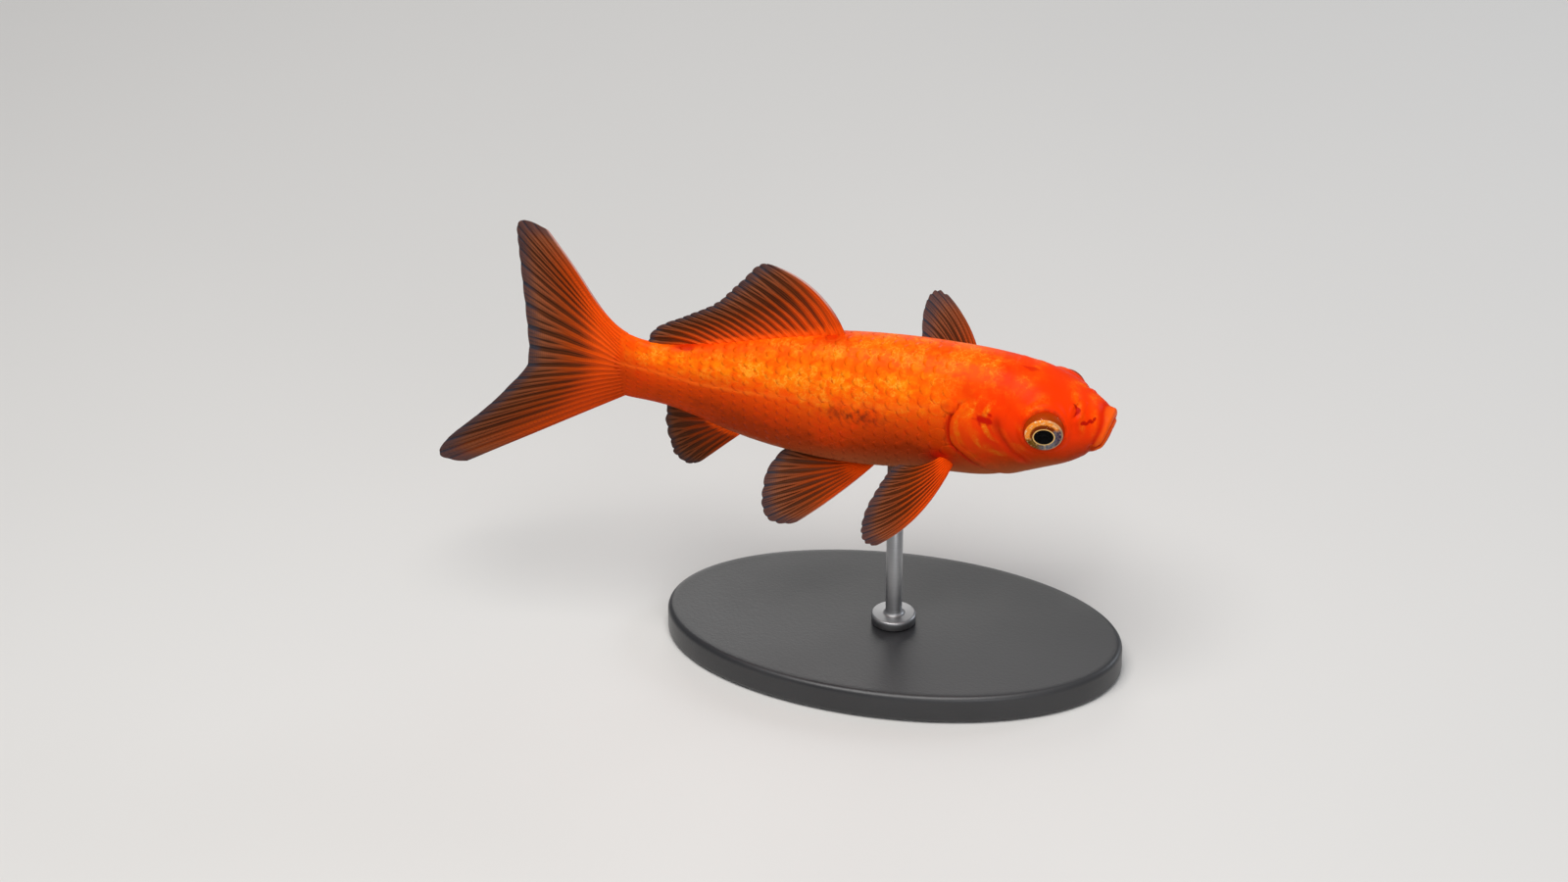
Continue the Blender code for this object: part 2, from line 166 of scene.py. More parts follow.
def ripple(a, b, seed, count=5):
    # a smooth random wave: the mean of count cosines in (a, b), with directions and phases from the seed
    wave = np.random.default_rng(seed).uniform(-1.0, 1.0, (3, count))
    return sum(np.cos(3 * (p * a + q * b) + 6 * r) for p, q, r in wave.T) / count


def strongest(*masks):
    return reduce(np.maximum, masks)


def sectionAt(s):
    held = np.clip(s, body["front"], body["rear"])
    back, belly, width = (smoothCurve(body["sections"], column, held) for column in (1, 2, 3))
    return back, belly, width, held


def bodySurface(s, turn, high, wide, inset):
    # superellipse ring: height = (H - inset) · high · sin^(2/n) turn, side = ((W - inset) · wide + swell)
    # · cos^(2/n) turn; near the mouth the ring leans forward by height · tan(lean)
    back, belly, width, held = sectionAt(s)
    n = body["fullness"]
    height = ((back - belly) / 2 - inset) * high * power(np.sin(turn), 2 / n)
    z = (back + belly) / 2 + height
    away = (s - eye["station"]) ** 2 + (z - eye["height"] - eye["swellRise"]) ** 2
    swell = eye["swell"] * np.exp(-away / (2 * eye["swellReach"] ** 2))
    side = ((width - inset) * wide + swell) * power(np.cos(turn), 2 / n)
    fade = np.clip((body["leanEnd"] - held) / (body["leanEnd"] - body["front"]), 0.0, 1.0)
    return s - height * np.tan(np.radians(body["mouthLean"])) * fade**2, side, z


def tailTaper(s):
    # the trunk ends in a thin wedge inside the root of the tail fin: t runs from 0 to 1 over the taper,
    # height (1 - t⁵)^½, width 1 - t^1.8
    t = np.clip((s - body["taperStart"]) / body["taperLength"], 0.0, 1.0)
    return np.sqrt(1 - t**5), 1 - t**1.8


def insetAt(s):
    return body["faceInset"] + (body["coatDepth"] - body["faceInset"]) * rise(s, *body["coatStart"])


def aimEye(side):
    # out points along the eye's axis, front to the snout and up to the back, both in the plane of the iris
    aim = float(heading(eye["station"])) + side * np.radians(90.0 - eye["forward"])
    tip = np.radians(90.0 + eye["down"])
    out = np.array((np.sin(tip) * np.cos(aim), np.sin(tip) * np.sin(aim), np.cos(tip)))
    front = np.cross((0.0, 0.0, 1.0), out) * -side
    up = np.array((0.0, 0.0, 1.0)) - out[2] * out
    return {"middle": place(eye["station"], side * eye["side"], eye["height"]), "out": out,
            "front": front / np.linalg.norm(front), "up": up / np.linalg.norm(up)}


eyeAim = {side: aimEye(side) for side in (-1, 1)}
gillEdge = [(-8.6, 11.0), (-7.6, 14.2), (-6.2, 17.2), (-4.7, 19.4), (-3.5, 20.6), (-2.1, 22.0), (-0.2, 22.55),
            (2.2, 22.2), (3.6, 21.2), (4.8, 19.6)]  # z, s of the gill cover's free edge
cheekCrease = [(-5.0, 12.2), (-3.0, 13.25), (-2.5, 13.8), (-0.75, 15.1), (0.8, 16.0), (2.4, 16.3),
               (4.0, 16.0)]
lateralLine = [(21.0, 4.2), (26.0, 2.9), (32.0, 1.9), (42.0, 1.5), (50.0, 1.0), (57.0, 1.1), (63.0, 2.0),
               (68.0, 2.4)]  # s, z


def pastLine(line, s, z):
    # signed distance behind a line s = f(z): (s - f) / sqrt(1 + f'²)
    held = np.clip(z, line[0][0], line[-1][0])
    slope = (smoothCurve(line, 1, held + 0.05) - smoothCurve(line, 1, held - 0.05)) / 0.1
    return (s - smoothCurve(line, 1, held)) / np.sqrt(1 + slope**2)


def nearLateral(s, z, width):
    return hill(z - np.interp(s, *np.array(lateralLine).T), width) * rise(s, 22.0, 25.0)


def eyeReach(points, side):
    # distance of each point from the axis of the nearer eye, and how far up it lies in the plane of the iris
    left = (side > 0)[..., None]
    middle, out, up = (np.where(left, eyeAim[1][key], eyeAim[-1][key]) for key in ("middle", "out", "up"))
    offset = points - middle
    flat = offset - (offset * out).sum(-1)[..., None] * out
    far = np.linalg.norm(flat, axis=-1)
    return far, (flat * up).sum(-1) / np.maximum(far, 0.01)


def mouthLines(s, side, z):
    # arch = 1 on the gape: sqrt((side / 2.35)² + ((z + 1) / 3)²), seen from the front;
    # fold is where the lip ends
    arch = np.sqrt((side / 2.35) ** 2 + ((z + 1.0) / 3.0) ** 2)
    fold = 1.2 + 0.34 * np.clip((z + 1.1) / 4.4, 0.02, 1.0) ** 0.75
    return arch, fold, rise(s, 6.0, 4.6) * rise(z, -1.7, -0.8)


relief = {  # outward, in millimetres
    "gape": -0.2, "upperLip": 0.07, "lipFold": -0.13, "lowerLip": 0.14, "lipGroove": -0.12,
    "mouthCorner": -0.3, "jawEdge": -0.16, "jawRim": 0.06, "nostril": -0.26, "nostrilFlap": 0.07,
    "crease": -0.17, "creaseRim": 0.07, "creaseLine": -0.05,
    "gillRim": 0.08, "gillSlit": -0.34, "gillHollow": -0.12, "gillLine": -0.07,
    "lidRim": 0.1, "upperLid": 0.05, "lidGroove": -0.1, "brow": 0.12, "browFolds": 0.05, "eyeSeat": -1.9,
    "finHollow": -0.2, "lateralLine": -0.05,
}


def faceRelief(s, side, z, points):
    # outward displacement of the skin, each term a hill across a line or round a place
    deep = relief
    arch, fold, here = mouthLines(s, side, z)
    gape, ending = (arch - 1) * 2.7, (arch - fold) * 2.7
    total = (deep["gape"] * hill(gape, 0.12) + deep["lipFold"] * hill(ending, 0.22)
             + deep["upperLip"] * hill((gape + ending) / 2, 0.34)) * here
    total += deep["lowerLip"] * hill((arch - 0.83) * 2.7, 0.26) * rise(s, 5.0, 3.6) * rise(z, -2.2, -1.2)
    total += deep["lipGroove"] * hill((arch - 0.6) * 2.7, 0.26) * rise(s, 4.6, 3.4) * rise(z, -2.6, -1.4)
    total += deep["mouthCorner"] * hill(oval(s, z, 4.15, -1.2), 0.42)
    # the rear edge of the jaw slants down and back from the corner of the mouth
    across, along = (s - 4.0) * 0.913 + (z + 1.0) * 0.407, (s - 4.0) * 0.407 - (z + 1.0) * 0.913
    total += deep["jawEdge"] * hill(across, 0.22) * within(along, -0.3, 0.6, 3.5, 6.6)
    total += deep["jawRim"] * hill(across + 0.7, 0.5) * within(along, 0.0, 1.0, 3.0, 6.0)
    # nostrils: two small pits with a flap between them
    ds, dz = s - 6.15, z - 3.9
    pits = hill(oval(ds, dz, 0.1, 0.55, longZ=1.25), 0.28) + hill(oval(ds, dz, -0.02, -0.1, longZ=1.25), 0.26)
    flap = hill(oval(ds, dz, 0.0, 0.2, 0.7, 1.1) - 1, 0.3)
    total += (deep["nostril"] * pits + deep["nostrilFlap"] * flap) * (np.abs(side) > 1.5)
    # cheek crease, gill cover with its raised rim and slit, and a second line inside the rim
    crease = pastLine(cheekCrease, s, z)
    total += (deep["crease"] * hill(crease, 0.4) + deep["creaseRim"] * hill(crease - 0.85, 0.6)
              + deep["creaseLine"] * hill(crease + 1.15, 0.3)) * within(z, -4.6, -3.4, 2.0, 3.6)
    gill = pastLine(gillEdge, s, z)
    total += (deep["gillRim"] * within(gill, -1.8, -0.25, -0.1, 0.06)
              + deep["gillSlit"] * hill(gill - 0.16, 0.17)
              + deep["gillHollow"] * hill(gill - 0.55, 0.6) * (gill > 0)) * within(z, -8.8, -7.0, 3.4, 4.7)
    total += deep["gillLine"] * hill(gill + 1.05, 0.16) * within(z, -6.0, -4.0, 2.2, 3.6)
    # the eye's seat, its rim, and the folds over it
    far, upward = eyeReach(points, side)
    total += deep["lidRim"] * hill(far - 3.08, 0.26)
    total += deep["upperLid"] * rise(upward, 0.1, 0.9) * hill(far - 3.1, 0.35)
    total += deep["lidGroove"] * hill(far - 3.75, 0.36) * (0.45 + 0.55 * rise(upward, -0.2, 0.8))
    total += deep["brow"] * rise(upward, 0.2, 1.0) * hill(far - 3.05, 0.5)
    folds = hill(far - 4.9, 0.3) + 0.8 * hill(far - 6.3, 0.35)
    total += deep["browFolds"] * folds * rise(upward, -0.1, 0.6) * (s < 15)
    total += deep["eyeSeat"] * rise(far, 2.74, 2.0)
    # the hollow behind the root of the pectoral fin, and the lateral line
    total += deep["finHollow"] * hill(oval(s, z, 24.1, -4.2, 1.3), 0.9)
    return total + deep["lateralLine"] * nearLateral(s, z, 0.22)


markSpots = {  # s, z, half length, half height, strength
    "gold": [
        (64.0, 4.6, 3.2, 1.4, 0.85), (20.5, 7.9, 4.0, 2.2, 0.7), (20.3, 3.4, 1.1, 1.6, 0.5),
        (12.0, -4.6, 5.0, 1.3, 0.45), (39.8, 1.6, 1.5, 1.5, 0.75), (43.0, 1.7, 1.1, 1.1, 0.75),
        (35.5, 2.2, 1.3, 1.3, 0.75), (31.0, 2.4, 1.4, 1.4, 0.75),
    ],
    "red": [(23.2, 3.4, 0.5, 0.5, 0.6), (24.0, -4.3, 1.6, 1.2, 0.8)],
    "streak": [(5.2, 2.72, 0.3, 0.25), (4.85, 2.58, 0.28, 0.2), (4.5, 2.8, 0.22, 0.21),
               (4.22, 2.68, 0.19, 0.18), (4.0, 2.92, 0.16, 0.2)],
}
markShare = {  # how strong each mark is
    "rings": 0.72, "goldClouds": 0.3, "eyeFolds": 0.35, "goldLine": 0.35, "creaseShade": 0.55, "belly": 0.9,
    "creaseRed": 0.45, "redClouds": 0.32, "slit": 0.75, "gape": 0.6, "lipFold": 0.55, "smear": 0.55,
    "finRoot": 0.7, "finRear": 0.75, "duskyRed": 0.15, "eyeShadow": 0.4, "lateralLine": 0.8,
    "farStreak": 0.35, "blotch": (0.95, 0.5),  # right and left side
}


def spotted(spots, s, z):
    # the strongest of soft oval spots, each strength · exp(-(ds / a)² - (dz / b)²)
    return strongest(*(strength * hill(oval(s, z, *spot)) for *spot, strength in spots))


def markings(s, side, z, points):
    # zones of colour as masks from 0 to 1, the same on skin and scales; h runs from -1 at the belly to 1
    # at the back
    share, right = markShare, side < 0
    back, belly = sectionAt(s)[:2]
    h = (2 * z - back - belly) / (back - belly)
    soft = 0.1 * ripple(s / 6, z / 4 + side / 5, 3)
    head = rise(s, 24.0, 17.0)
    crease, gill = pastLine(cheekCrease, s, z), pastLine(gillEdge, s, z)
    creased = hill(crease + 0.1, 0.75) * within(z, -4.8, -3.4, 1.6, 3.4)
    far, upward = eyeReach(points, side)
    arch, fold, here = mouthLines(s, side, z)
    line = nearLateral(s, z, 0.26)
    # gold: upper flank, rings on the gill cover round a centre behind the eye, clouds on the head, folds
    # over the eye
    rings = rise(np.sin(3.3 * (np.hypot(s - 15.5, (z - 2.0) * 0.9) + 5 * soft)), -0.1, 0.95)
    cover = rise(crease, 0.3, 1.2) * rise(gill, -0.2, -0.9)
    cover = cover * rise(ripple(0.9 * s, 1.3 * z, 17, 7), -0.45, 0.1)
    clouds = rise(ripple(0.55 * s, 0.8 * z, 31, 7), -0.1, 0.45) * within(s, 6.5, 12.0, 21.0, 26.0)
    folds = (hill(far - 4.9, 0.35) + hill(far - 6.4, 0.4)) * rise(upward, -0.5, 0.3) * rise(s, 15.0, 12.0)
    flank = hill(h - 0.62 + soft, 0.42 - 0.13 * rise(s, 42.0, 54.0)) * within(s, 21.0, 27.0, 60.0, 70.0)
    gold = strongest(
        flank, share["rings"] * rings * cover, share["goldClouds"] * clouds * rise(h, -0.85, -0.3),
        share["eyeFolds"] * folds, share["goldLine"] * line * within(s, 40.0, 46.0, 54.0, 60.0),
        spotted(markSpots["gold"], s, z))
    # the low flank: darker brown with painted shade from above, and painted shade in the cheek crease; the
    # pale belly and the lips
    shadeLine = -0.02 + 0.2 * rise(s, 44.0, 56.0) - 0.22 * head - 0.1 * hill(s - 40.0, 8.0) + soft
    shade = np.clip((shadeLine + 0.35 - h) / 0.85, 0.0, 1.0) * (1 - 0.35 * rise(s, 50.0, 60.0))
    shade = strongest(shade, share["creaseShade"] * creased)
    pale = strongest(rise(h, -0.4 + 0.6 * soft, -1.0) * within(s, 5.0, 10.0, 34.0, 52.0),
                     share["belly"] * rise(h, -0.66, -1.0) * within(s, 6.0, 9.0, 50.0, 58.0))
    lips = strongest(within(arch, 1.04, 1.1, fold - 0.06, fold) * here,
                     within(arch, 0.7, 0.78, 0.92, 0.97) * rise(s, 5.0, 3.6) * rise(z, -3.0, -1.6))
    # red: a comma for the nostril, bowed towards the snout, and a streak before it
    bowed = (s - 6.0 - np.where(z > 4.02, 1.2, 2.25) * (z - 4.02) ** 2) / (0.17 + 0.14 * hill(z - 4.0, 0.35))
    nostril = rise(np.hypot(bowed, (z - 4.2) / 0.78), 1.1, 0.6) * (np.abs(side) > 1.5)
    streak = strongest(*(rise(oval(s, z, *spot), 1.25, 0.8) for spot in markSpots["streak"]))
    streak = streak * np.where(right, 1.0, share["farStreak"])
    # a thin smear on the crown, a blotch behind the eye, and clouds on the upper head
    smear = np.hypot((s - 12.7 + 0.5 * side) / 1.2, (side + 0.9) / 0.4 + 0.6 * ripple(2 * s, 2 * side, 37))
    blotch = hill(oval(s, z, 17.9, 2.3, 1.5)) + 0.5 * ripple(2.1 * s, 2.6 * z, 29, 7)
    blotch = rise(blotch, 0.35, 0.75) * np.where(right, *share["blotch"]) * (oval(s, z, 17.9, 2.3) < 2.6)
    clouds = rise(ripple(0.45 * s, 0.6 * z, 23, 6), 0.0, 0.6) * within(s, 4.0, 6.0, 19.0, 24.0)
    slit = hill(gill - 0.2, 0.28) * within(z, -6.5, -4.0, 2.6, 4.2)
    gape, ending = hill((arch - 1) * 2.7, 0.13), hill((arch - fold) * 2.7, 0.22)
    finRoot = rise(h, 0.86, 0.99) * (hill(s - 39.5, 2.5) + hill(s - 58.5, 3.0))
    finRear = rise(oval(s, z, 59.2, 5.45, 1.5, 0.34), 1.3, 0.7) * (z > 0)
    red = strongest(
        share["creaseRed"] * creased, share["redClouds"] * clouds * rise(h, -0.5, 0.0), share["slit"] * slit,
        share["gape"] * gape * here, share["lipFold"] * ending * here, nostril, streak,
        share["smear"] * rise(smear, 1.3, 0.5) * (z > 5), blotch, spotted(markSpots["red"], s, z),
        share["finRoot"] * finRoot, share["finRear"] * finRear)
    # dark: a speckled patch on the flank, the nostril and streak, and a ring of painted shadow where the skin
    # meets the eye
    patch = hill(oval(s, z, 35.6, 0.3, 4.0, 1.5)) * rise(ripple(1.9 * s, 2.8 * z, 11, 9), -0.22, 0.12)
    dark = strongest(patch, share["duskyRed"] * strongest(streak, nostril),
                     share["eyeShadow"] * hill(far - 2.85, 0.2) * (s < 14))
    full = np.ones_like(gold)
    return {"zones": np.stack((gold, shade, pale, full), -1),
            "marks": np.stack((red, dark, strongest(share["lateralLine"] * line, lips), full), -1),
            "face": head}


def turnedOut(points, quads):
    # true if the faces point out: the sum of corner · (corner x corner) over the faces is positive
    a, b, c, d = (points[quads[:, k]] for k in range(4))
    return (np.cross(a, b) * c).sum() + (np.cross(a, c) * d).sum() > 0


def makePiece(name, points, quads, cornerMaps=None, attributes=None, caps=(), flat=None):
    # points in millimetres; quads is (faces, 4); cornerMaps are (faces, 4, 2) arrays; caps are rings
    # closed by a fan; flat marks the quads that keep a sharp edge
    points = np.asarray(points, float).reshape(-1, 3)
    cornerMaps, attributes = dict(cornerMaps or {}), dict(attributes or {})
    if not turnedOut(points, quads):
        quads = quads[:, ::-1]
        cornerMaps = {key: value[:, ::-1] for key, value in cornerMaps.items()}
    faces = quads.tolist()
    for ring in caps:
        middle, inside = len(points), points.mean(0)
        points = np.vstack((points, points[ring].mean(0)))
        attributes = {key: np.concatenate((value, value[ring].mean(0)[None]))
                      for key, value in attributes.items()}
        fan = np.stack((ring, np.roll(ring, -1), np.full(len(ring), middle)), 1)
        a, b, c = points[fan].transpose(1, 0, 2)
        if np.cross(b - a, c - a).sum(0) @ (points[middle] - inside) < 0:
            fan = fan[:, ::-1]
        faces += fan.tolist()
    mesh = bpy.data.meshes.new(name)
    mesh.from_pydata((points * mm).tolist(), [], faces)
    for key, value in cornerMaps.items():
        spread = np.full((len(mesh.loops), 2), 0.001)
        spread[: len(quads) * 4] = value.reshape(-1, 2)
        mesh.uv_layers.new(name=key).data.foreach_set("uv", spread.ravel())
    for key, value in attributes.items():
        kind, field = ("FLOAT", "value") if value.ndim == 1 else ("FLOAT_COLOR", "color")
        mesh.attributes.new(key, kind, "POINT").data.foreach_set(field, value.astype(np.float32).ravel())
    smooth = np.ones(len(mesh.polygons), bool)
    if flat is not None:
        smooth[: len(quads)] = ~flat
    mesh.polygons.foreach_set("use_smooth", smooth)
    mesh.update()
    piece = bpy.data.objects.new(name, mesh)
    bpy.context.scene.collection.objects.link(piece)
    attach(piece, "root")
    return piece


def ringQuads(rings, around):
    # quads of a tube of rings, closed round
    i, k = (part.ravel() for part in np.meshgrid(np.arange(rings - 1), np.arange(around), indexing="ij"))
    here, after = i * around + k, i * around + (k + 1) % around
    return np.stack((here, after, after + around, here + around), 1), i, k


def endRings(rings, around):
    return [np.arange(around), np.arange(around) + (rings - 1) * around]


def boxQuads(across, along):
    # quads of a thin closed box: a top sheet, a bottom sheet and the four strips between their borders
    def top(a, b):
        return a * along + b

    def low(a, b):
        return across * along + a * along + b

    k, j = (part.ravel() for part in np.meshgrid(np.arange(across - 1), np.arange(along - 1), indexing="ij"))
    p, q, u, v = np.arange(across - 1), np.arange(along - 1), across - 1, along - 1
    parts = [
        (top(k, j), top(k + 1, j), top(k + 1, j + 1), top(k, j + 1)),
        (low(k, j), low(k, j + 1), low(k + 1, j + 1), low(k + 1, j)),
        (top(p + 1, 0), top(p, 0), low(p, 0), low(p + 1, 0)),
        (top(p, v), top(p + 1, v), low(p + 1, v), low(p, v)),
        (top(0, q), top(0, q + 1), low(0, q + 1), low(0, q)),
        (top(u, q + 1), top(u, q), low(u, q), low(u, q + 1)),
    ]
    return np.concatenate([np.stack(np.broadcast_arrays(*part), 1) for part in parts])


def gridNormals(points, closed):
    # unit cross product of the two grid directions, as central differences
    second = (np.roll(points, -1, 1) - np.roll(points, 1, 1)) / 2 if closed else np.gradient(points, axis=1)
    normal = np.cross(np.gradient(points, axis=0), second)
    return normal / np.maximum(np.linalg.norm(normal, axis=-1, keepdims=True), 1e-9)


class Wire:
    # an output of a shader node: sums, differences and products of wires make Math nodes
    def __init__(self, socket):
        self.socket, self.tree = socket, socket.id_data

    def __add__(self, other):
        return calc("ADD", self, other)

    def __sub__(self, other):
        return calc("SUBTRACT", self, other)

    def __rsub__(self, other):
        return calc("SUBTRACT", other, self)

    def __mul__(self, other):
        return calc("MULTIPLY", self, other)

    def __abs__(self):
        return calc("ABSOLUTE", self)


def feed(socket, value):
    if isinstance(value, Wire):
        value.tree.links.new(value.socket, socket)
    else:
        socket.default_value = value


def makeNode(kind, values, **settings):
    # a node of the tree that its wired values are in, with its inputs by number or name
    tree = next(value.tree for value in values.values() if isinstance(value, Wire))
    node = tree.nodes.new("ShaderNode" + kind)
    for key, value in settings.items():
        setattr(node, key, value)
    for key, value in values.items():
        feed(node.inputs[key], value)
    return node.outputs


def calc(operation, *values):
    return Wire(makeNode("Math", dict(enumerate(values)), operation=operation)[0])


def mix(share, low, high):
    low, high = (value if isinstance(value, Wire) else (*value, 1.0) for value in (low, high))
    return Wire(makeNode("Mix", {0: share, 6: low, 7: high}, data_type="RGBA")[2])


def paint(color, look, *layers):
    # lays tints over the colour in turn, each by its share; a tint is a name in the look, or a wire
    for share, tint in layers:
        color = mix(share, color, look[tint] if isinstance(tint, str) else tint)
    return color


def between(value, low, high, toLow=0.0, toHigh=1.0):
    # smooth step from toLow at low to toHigh at high
    values = dict(enumerate((value, low, high, toLow, toHigh)))
    return Wire(makeNode("MapRange", values, interpolation_type="SMOOTHSTEP")[0])


def noise(spot, scale, detail=2.0, roughness=0.5):
    values = {"Vector": spot, "Scale": scale, "Detail": detail, "Roughness": roughness}
    return Wire(makeNode("TexNoise", values)[0])


def combine(*values):
    return Wire(makeNode("CombineXYZ", dict(enumerate(values)))[0])


def separate(kind, value):
    return [Wire(part) for part in makeNode("Separate" + kind, {0: value})]


def newGroup(name, inputs, outputs):
    tree = bpy.data.node_groups.new(name, "ShaderNodeTree")
    for label, kind, value in inputs:
        socket = tree.interface.new_socket(label, in_out="INPUT", socket_type="NodeSocket" + kind)
        if value is not None:
            socket.default_value = value
    for label, kind in outputs:
        tree.interface.new_socket(label, in_out="OUTPUT", socket_type="NodeSocket" + kind)
    given = tree.nodes.new("NodeGroupInput").outputs
    wires = {label: Wire(given[label]) for label, kind, value in inputs}
    return tree, wires, tree.nodes.new("NodeGroupOutput").inputs


def useGroup(tree, group, values, shader, bumpDepth):
    # the group's colour, roughness and the like go to the shader's sockets of the same names, its height
    # to a bump
    node = tree.nodes.new("ShaderNodeGroup")
    node.node_tree = group
    for label, value in values.items():
        feed(node.inputs[label], value)
    made = {socket.name: Wire(socket) for socket in node.outputs}
    bump(shader, made.pop("Height"), bumpDepth)
    made["Base Color"] = made.pop("Color")
    for label, wire in made.items():
        feed(shader.inputs[label], wire)


def newMaterial(name, values):
    material = bpy.data.materials.new(name)
    material.use_nodes = True
    shader = material.node_tree.nodes["Principled BSDF"]
    for label, value in values.items():
        shader.inputs[label].default_value = value
    return material, material.node_tree, shader


def readAttribute(tree, name, output="Color"):
    node = tree.nodes.new("ShaderNodeAttribute")
    node.attribute_name = name
    return Wire(node.outputs[output])


def readMap(tree, name):
    node = tree.nodes.new("ShaderNodeUVMap")
    node.uv_map = name
    return separate("XYZ", Wire(node.outputs[0]))[:2]


def objectPlace(tree):
    return Wire(tree.nodes.new("ShaderNodeTexCoord").outputs["Object"])


def bump(shader, height, distance):
    values = {"Distance": distance, "Strength": 1.0, "Height": height}
    feed(shader.inputs["Normal"], Wire(makeNode("Bump", values)[0]))


skinLook = {
    "orange": (0.95, 0.075, 0.0015),
    "gold": (1.0, 0.235, 0.003),
    "fleck": (1.0, 0.42, 0.035),
    "redFace": (0.93, 0.04, 0.001),
    # darker brown of the low flank, which also carries painted shade
    "lowFlankBrownAndShade": (0.34, 0.029, 0.001),
    "bellyPink": (0.38, 0.13, 0.05),
    "markRed": (0.52, 0.005, 0.001),
    "markDark": (0.16, 0.025, 0.004),
    "lipBand": (0.98, 0.15, 0.01),
    "grain": (330.0, 1150.0, 4200.0),  # coarse, fine and tiny, per metre
    "veins": 820.0,
    "veinShare": 0.7,
    "bandShare": 0.65,
    "scaleTone": 0.26,
    "scaleGlow": 0.16,
    "scaleRim": 0.08,
    "roughness": 0.42,
    "gloss": {"Coat Weight": 0.02, "Coat Roughness": 0.2, "Specular IOR Level": 0.025},
    "skinBump": 0.00003,
    "scaleBump": 0.00002,
    "headRings": 214,
    "headEnd": 22.9,  # s where the close rings of the head stop
    "trunkRings": 118,
    "tailEnd": 2.85,  # how far the skin goes on past the rear of the body
    "snoutInset": 0.09,
    "around": 256,
    "unwrapLength": 72.0,
}


def goldfishMarkings():
    # colour = orange, taken towards gold, face red, the low flank's darker brown with painted shade, belly,
    # lip, red and dark marks by the masks; Scale holds the rim of each scale, the glow in its middle and its
    # own tone, from 0 to 1
    look = skinLook
    tree, given, out = newGroup(
        "goldfishMarkings",
        [("Zones", "Color", (0, 0, 0, 1)), ("Marks", "Color", (0, 0, 0, 1)), ("Face", "Float", 0.0),
         ("Place", "Vector", None), ("Scale", "Color", (0, 0, 0.5, 1))],
        [("Color", "Color"), ("Roughness", "Float"), ("Height", "Float")])
    goldZone, shadeZone, paleZone = separate("Color", given["Zones"])
    redMark, darkMark, bandMark = separate("Color", given["Marks"])
    rim, glow, tone = separate("Color", given["Scale"])
    coarse, fine = (noise(given["Place"], scale, 3.0, 0.6) for scale in look["grain"][:2])
    tiny = noise(given["Place"], look["grain"][2])
    mottle = coarse * 0.55 + fine * 0.45
    own = (tone - 0.5) * look["scaleTone"] + glow * look["scaleGlow"]
    vein = abs(noise(given["Place"], look["veins"], 3.0, 0.65) - 0.5)
    fleck = between(vein, 0.04, 0.006) * between(coarse, 0.42, 0.62) * goldZone
    color = paint(
        look["orange"], look,
        (given["Face"], "redFace"),
        (between(mottle, 0.52, 0.4) * 0.45, "redFace"),
        (goldZone * (between(mottle, 0.42, 0.6) * 0.6 + 0.3 + own), "gold"),
        (fleck * look["veinShare"], "fleck"),
        (shadeZone * (mottle * 1.2 + 0.4) * 1.1, "lowFlankBrownAndShade"),
        (paleZone * 0.85, "bellyPink"),
        (bandMark * look["bandShare"], "lipBand"),
        (redMark, "markRed"),
        (darkMark * between(fine, 0.62, 0.4, 0.35, 1.0), "markDark"),
        (rim * look["scaleRim"], "markRed"))
    feed(out["Color"], color)
    feed(out["Roughness"], between(fine, 0.3, 0.7, look["roughness"] - 0.07, look["roughness"] + 0.08))
    feed(out["Height"], tiny * 0.4 + fine * 0.6)
    return tree


markingsGroup = goldfishMarkings()


def skinMaterial(name, bumpDepth, scaled):
    material, tree, shader = newMaterial(name, skinLook["gloss"])
    given = {"Zones": readAttribute(tree, "zones"), "Marks": readAttribute(tree, "marks"),
             "Face": readAttribute(tree, "face", "Fac"), "Place": objectPlace(tree)}
    if scaled:
        given["Scale"] = readAttribute(tree, "scale")
    useGroup(tree, markingsGroup, given, shader, bumpDepth)
    return material


def buildSkin():
    # rings (s, turn): the snout closes as s = front - r sin a with size cos a, the tail end by its taper
    look, around, front, rear = skinLook, skinLook["around"], body["front"], body["rear"]
    a = np.linspace(1.5, 0.0, 26)[:-1]
    end = rear + look["tailEnd"] * np.sin(np.linspace(0.0, 1.53, 18)[1:])
    trunk = np.linspace(look["headEnd"], rear, look["trunkRings"])[1:]
    middle = np.concatenate((np.linspace(front, look["headEnd"], look["headRings"]), trunk, end))
    s = np.concatenate((front - (body["snoutRound"] - look["snoutInset"]) * np.sin(a), middle))[:, None]
    high, wide = (np.concatenate((np.cos(a), part))[:, None] for part in tailTaper(middle))
    turn = np.linspace(0, 2 * np.pi, around, endpoint=False)[None]
    fishS, side, z = np.broadcast_arrays(*bodySurface(s, turn, high, wide, insetAt(s)))
    points = place(fishS, side, z)
    normal = gridNormals(points, True)
    ring = points[len(s) // 2]
    if (normal[len(s) // 2, 0] * (ring[0] - ring.mean(0))).sum() < 0:
        normal = -normal
    points = points + normal * faceRelief(fishS, side, z, points)[..., None]
    quads, i, k = ringQuads(len(s), around)
    along = np.clip(s[:, 0] / look["unwrapLength"], 0.0, 1.0)
    u = np.stack((along[i], along[i], along[i + 1], along[i + 1]), 1)
    v = np.stack((k, k + 1, k + 1, k), 1) / around
    marks = markings(fishS, side, z, points)
    attributes = {key: value.reshape((-1, 4) if value.ndim == 3 else -1) for key, value in marks.items()}
    skin = makePiece("skin", points, quads, {"OFBake": np.stack((u, v), -1)}, attributes,
                     endRings(len(s), around))
    skin.data.materials.append(skinMaterial("goldfishSkin", look["skinBump"], False))
    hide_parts("head", "trunk", "tail_stem", "gill_cover_left", "gill_cover_right",
                "upper_lip", "lower_jaw")
    print("skin:", len(skin.data.polygons), "faces")


buildSkin()

